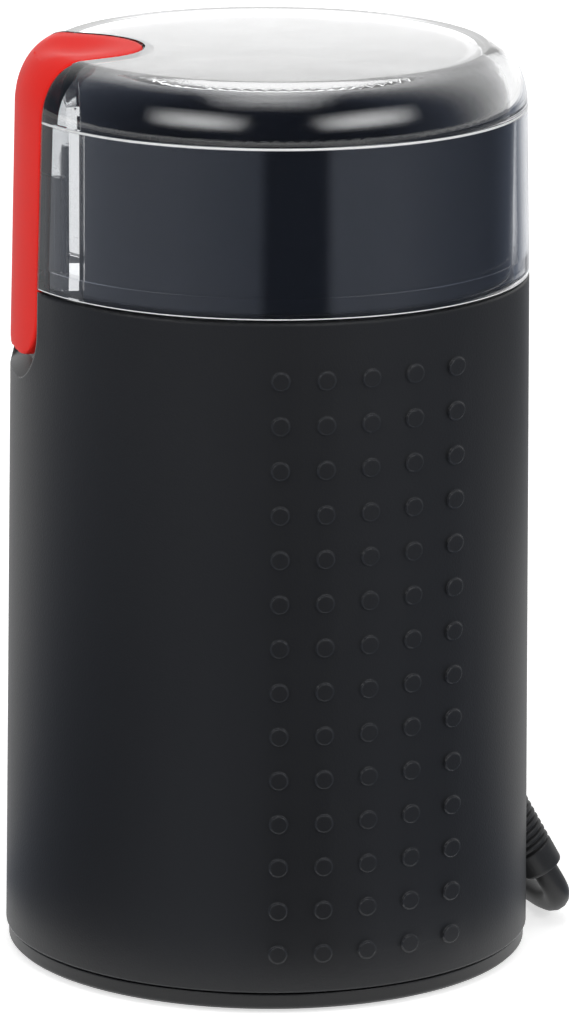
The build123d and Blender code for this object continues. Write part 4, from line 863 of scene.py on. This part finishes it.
class GRINDER_OT_fasteners(bpy.types.Operator):
    """Finish the screws and bolts"""

    bl_idname = "grinder.fasteners"
    bl_label = "Screws and bolts"

    def execute(self, context):
        colours = context.scene.grinder_colours
        zinc = drawn_metal("screw_zinc", colours.zinc, 0.3, (1, 1, 1), 900.0)
        dress(zinc, "base_screws", "housing_screws", "bracket_screws", "switch_screws",
              "mount_screws", "motor_bolts")
        return {"FINISHED"}


# Stage

FLOOR_HALF = 6.0
FLOOR_GLOW = 0.62  # lifts the lit floor to white for camera and mirror rays
AMBIENT = (0.36, 0.36, 0.36)
WHITE = (1.0, 1.0, 1.0)
LAMP_REACH = 1.6  # distance of the lamps from the point that they look at
LAMP_AIM = Vector((0.0, 0.0, 0.09))
LAMP_FADE = 36.0  # keeps the mean of a lamp's parabolic fade at 1
# Name, azimuth and elevation in degrees, width and height in metres, power in watts
LAMPS = (
    ("left_box", 47.0, 28.0, (1.4, 0.75), 5.9),
    ("right_box", 130.0, 28.0, (1.5, 0.75), 6.6),
    ("top_box", 80.0, 80.0, (1.2, 1.2), 5.8),
    ("back_box", 263.0, 5.0, (1.2, 0.48), 1.9),
)
DIM_TINT = (0.78, 0.93, 1.26)  # the colour that white turns to where reflections are dim
TABLE_MIDDLE, TABLE_BORDER, TABLE_OUTSIDE = 0.06, 0.34, 1.8  # radii of the two rings
TABLE_HEIGHT = 0.003
TABLE_STEPS = 96
# What mirror reflections see round the object, as (share of a turn from the -X side, brightness)
NEAR_TABLE = (
    (0.0, 1.0), (0.13, 1.0), (0.18, 0.40), (0.23, 0.20), (0.33, 0.12), (0.38, 0.34),
    (0.464, 0.40), (0.478, 0.06), (0.546, 0.06), (0.560, 0.40), (0.63, 0.34), (0.68, 0.16),
    (0.76, 0.32), (0.81, 1.0), (1.0, 1.0),
)
FAR_TABLE = (
    (0.0, 1.0), (0.14, 1.0), (0.19, 0.60), (0.25, 0.46), (0.36, 0.42), (0.464, 0.30),
    (0.478, 0.08), (0.546, 0.08), (0.560, 0.40), (0.64, 0.40), (0.72, 0.24), (0.80, 0.10),
    (0.88, 0.12), (0.93, 0.9), (1.0, 1.0),
)
ROOM = (
    (0.0, 1.0), (0.07, 1.0), (0.15, 0.25), (0.22, 0.16), (0.34, 0.05), (0.62, 0.05),
    (0.74, 0.20), (0.82, 1.0), (1.0, 1.0),
)


def photo_camera():
    """Camera at the photograph's angle: where it stands, how it is tilted, panned and rolled."""
    azimuth, pitch = math.radians(83.0), math.radians(13.882)
    pan, roll = 0.00242, math.radians(0.4)
    distance, height = 1.18247, 0.37188
    right = Vector((math.cos(azimuth), math.sin(azimuth), 0.0))
    ahead = Vector((-math.sin(azimuth), math.cos(azimuth), 0.0))
    aim = ahead * math.cos(pan) + right * math.sin(pan)
    right = right * math.cos(pan) - ahead * math.sin(pan)
    forward = aim * math.cos(pitch) - Vector((0, 0, math.sin(pitch)))
    up = right.cross(forward)
    turned_right = right * math.cos(roll) + up * math.sin(roll)
    turned_up = up * math.cos(roll) - right * math.sin(roll)
    camera = linked("photo_camera", bpy.data.cameras.new("photo_camera"))
    place = Matrix((turned_right, turned_up, -forward)).transposed().to_4x4()
    place.translation = (
        math.sin(azimuth) * distance, -math.cos(azimuth) * distance, height)
    camera.matrix_world = place
    camera.data.sensor_width = 36.0
    camera.data.lens = 237.54
    camera.data.clip_start = 0.05
    bpy.context.scene.camera = camera


def soft_box(name, azimuth, elevation, size, power):
    """A soft lamp that looks at the middle of the object, and fades towards its edges."""
    lamp = bpy.data.lights.new(name, "AREA")
    lamp.shape = "RECTANGLE"
    lamp.size, lamp.size_y = size
    lamp.energy = power
    cloth = Recipe(lamp)
    across = cloth.node("ShaderNodeSeparateXYZ", {}, {
        "Vector": cloth.node("ShaderNodeNewGeometry")["Parametric"]})
    fade = across["X"] * (1.0 - across["X"]) * across["Y"] * (1.0 - across["Y"]) * LAMP_FADE
    shine = cloth.node("ShaderNodeEmission", {}, {"Strength": fade})["Emission"]
    cloth.node("ShaderNodeOutputLight", {}, {"Surface": shine})
    turn, lift = math.radians(azimuth), math.radians(elevation)
    flat = Vector((math.sin(turn), -math.cos(turn), 0.0))
    away = flat * math.cos(lift) + Vector((0.0, 0.0, math.sin(lift)))
    lamp_object = linked(name, lamp)
    lamp_object.location = LAMP_AIM + away * LAMP_REACH
    lamp_object.rotation_euler = away.to_track_quat("Z", "Y").to_euler()


def pale_floor(colours):
    """White floor that keeps the object's shadow and reads as white to the camera."""
    floor = material("pale_floor")
    rays = floor.node("ShaderNodeLightPath")
    seen = rays["Is Camera Ray"] + rays["Is Glossy Ray"] + rays["Is Transmission Ray"]
    cloud = floor.noise(3.0, 2.0)
    matt = floor.node("ShaderNodeBsdfDiffuse", {}, {
        "Color": floor.shade(cloud, tint(colours.floor, 0.99), colours.floor)})["BSDF"]
    glow = floor.node("ShaderNodeEmission", {}, {"Strength": FLOOR_GLOW})["Emission"]
    lit = floor.node("ShaderNodeAddShader", {}, {0: matt, 1: glow})["Shader"]
    return floor.finish(floor.node("ShaderNodeMixShader", {}, {0: seen, 1: matt, 2: lit})["Shader"])


def by_azimuth(recipe, way, stops):
    """Brightness that changes round the vertical axis, from the -X side by -Y, +X and +Y."""
    axes = recipe.node("ShaderNodeSeparateXYZ", {}, {"Vector": way})
    turn = axes["Y"].worked("ARCTAN2", axes["Y"], axes["X"]) * (0.5 / math.pi) + 0.5
    shades = [(place, tuple(level * (dim + (1.0 - dim) * level) for dim in DIM_TINT))
              for place, level in stops]
    return recipe.node("ShaderNodeValToRGB", {"stops": shades}, {"Fac": turn})["Color"]


def reflected_table(name, inner, outer, stops):
    """What mirror reflections see of a ring of the table, brighter and darker round the object."""
    made = bmesh.new()
    rims = []
    for radius in (inner, outer):
        rims.append([made.verts.new((radius * cosine, radius * sine, TABLE_HEIGHT))
                     for cosine, sine in circle(TABLE_STEPS)])
    join_loops(made, rims)
    mesh = meshed(name, made)
    table = linked(name, mesh)
    glow = material(name)
    level = by_azimuth(glow, glow.place(), stops)
    shine = glow.node("ShaderNodeEmission", {}, {"Color": level})["Emission"]
    mesh.materials.append(glow.finish(shine))
    table.visible_camera = False
    table.visible_diffuse = False
    table.visible_shadow = False


def studio_world():
    """White to the camera, even light on the object, and a room with bright ends in reflections."""
    sky = Recipe(bpy.data.worlds.new("studio"))
    rays = sky.node("ShaderNodeLightPath")
    mirrored = rays["Is Glossy Ray"] + rays["Is Transmission Ray"]
    room = by_azimuth(sky, sky.node("ShaderNodeTexCoord")["Generated"], ROOM)
    light = sky.shade(rays["Is Camera Ray"], sky.shade(mirrored, AMBIENT, room), WHITE)
    shine = sky.node("ShaderNodeBackground", {}, {"Color": light})["Background"]
    sky.node("ShaderNodeOutputWorld", {}, {"Surface": shine})
    return sky.owner


class GRINDER_OT_stage(bpy.types.Operator):
    """Set the camera, the pale floor, what reflections see, the soft lamps and the world"""

    bl_idname = "grinder.stage"
    bl_label = "Stage"

    def execute(self, context):
        scene, colours = context.scene, context.scene.grinder_colours
        photo_camera()
        made = bmesh.new()
        bmesh.ops.create_grid(made, x_segments=8, y_segments=8, size=FLOOR_HALF)
        floor = linked("floor", meshed("floor", made))
        floor.data.materials.append(pale_floor(colours))
        reflected_table("near_table", TABLE_MIDDLE, TABLE_BORDER, NEAR_TABLE)
        reflected_table("far_table", TABLE_BORDER, TABLE_OUTSIDE, FAR_TABLE)
        for lamp in LAMPS:
            soft_box(*lamp)
        scene.world = studio_world()
        scene.view_settings.view_transform = "Standard"
        return {"FINISHED"}


PIECES = (
    GRINDER_OT_stage, GRINDER_OT_lead, GRINDER_OT_body, GRINDER_OT_lid, GRINDER_OT_lever,
    GRINDER_OT_bowl, GRINDER_OT_motor, GRINDER_OT_switch, GRINDER_OT_fasteners,
)


class GRINDER_PT_sidebar(bpy.types.Panel):
    """Lists the grinder's pieces, sizes and colours"""

    bl_idname = "GRINDER_PT_sidebar"
    bl_label = "Coffee grinder"
    bl_space_type = "VIEW_3D"
    bl_region_type = "UI"
    bl_category = "Grinder"

    def draw(self, context):
        for piece in PIECES:
            self.layout.operator(piece.bl_idname)
        for group in (context.scene.grinder_sizes, context.scene.grinder_colours):
            for name in group.__annotations__:
                self.layout.prop(group, name)


CLASSES = (GrinderSizes, GrinderColours, *PIECES, GRINDER_PT_sidebar)


def register():
    """Add the classes, and the sizes and colours that a scene keeps"""
    for cls in CLASSES:
        bpy.utils.register_class(cls)
    bpy.types.Scene.grinder_sizes = PointerProperty(type=GrinderSizes)
    bpy.types.Scene.grinder_colours = PointerProperty(type=GrinderColours)


def unregister():
    """Take away what register added"""
    del bpy.types.Scene.grinder_colours
    del bpy.types.Scene.grinder_sizes
    for cls in reversed(CLASSES):
        bpy.utils.unregister_class(cls)


def main():
    """Register, and make every piece"""
    register()
    bpy.ops.grinder.stage()
    bpy.ops.grinder.lead()
    bpy.ops.grinder.body()
    bpy.ops.grinder.lid()
    bpy.ops.grinder.lever()
    bpy.ops.grinder.bowl()
    bpy.ops.grinder.motor()
    bpy.ops.grinder.switch()
    bpy.ops.grinder.fasteners()


if __name__ == "__main__":
    main()
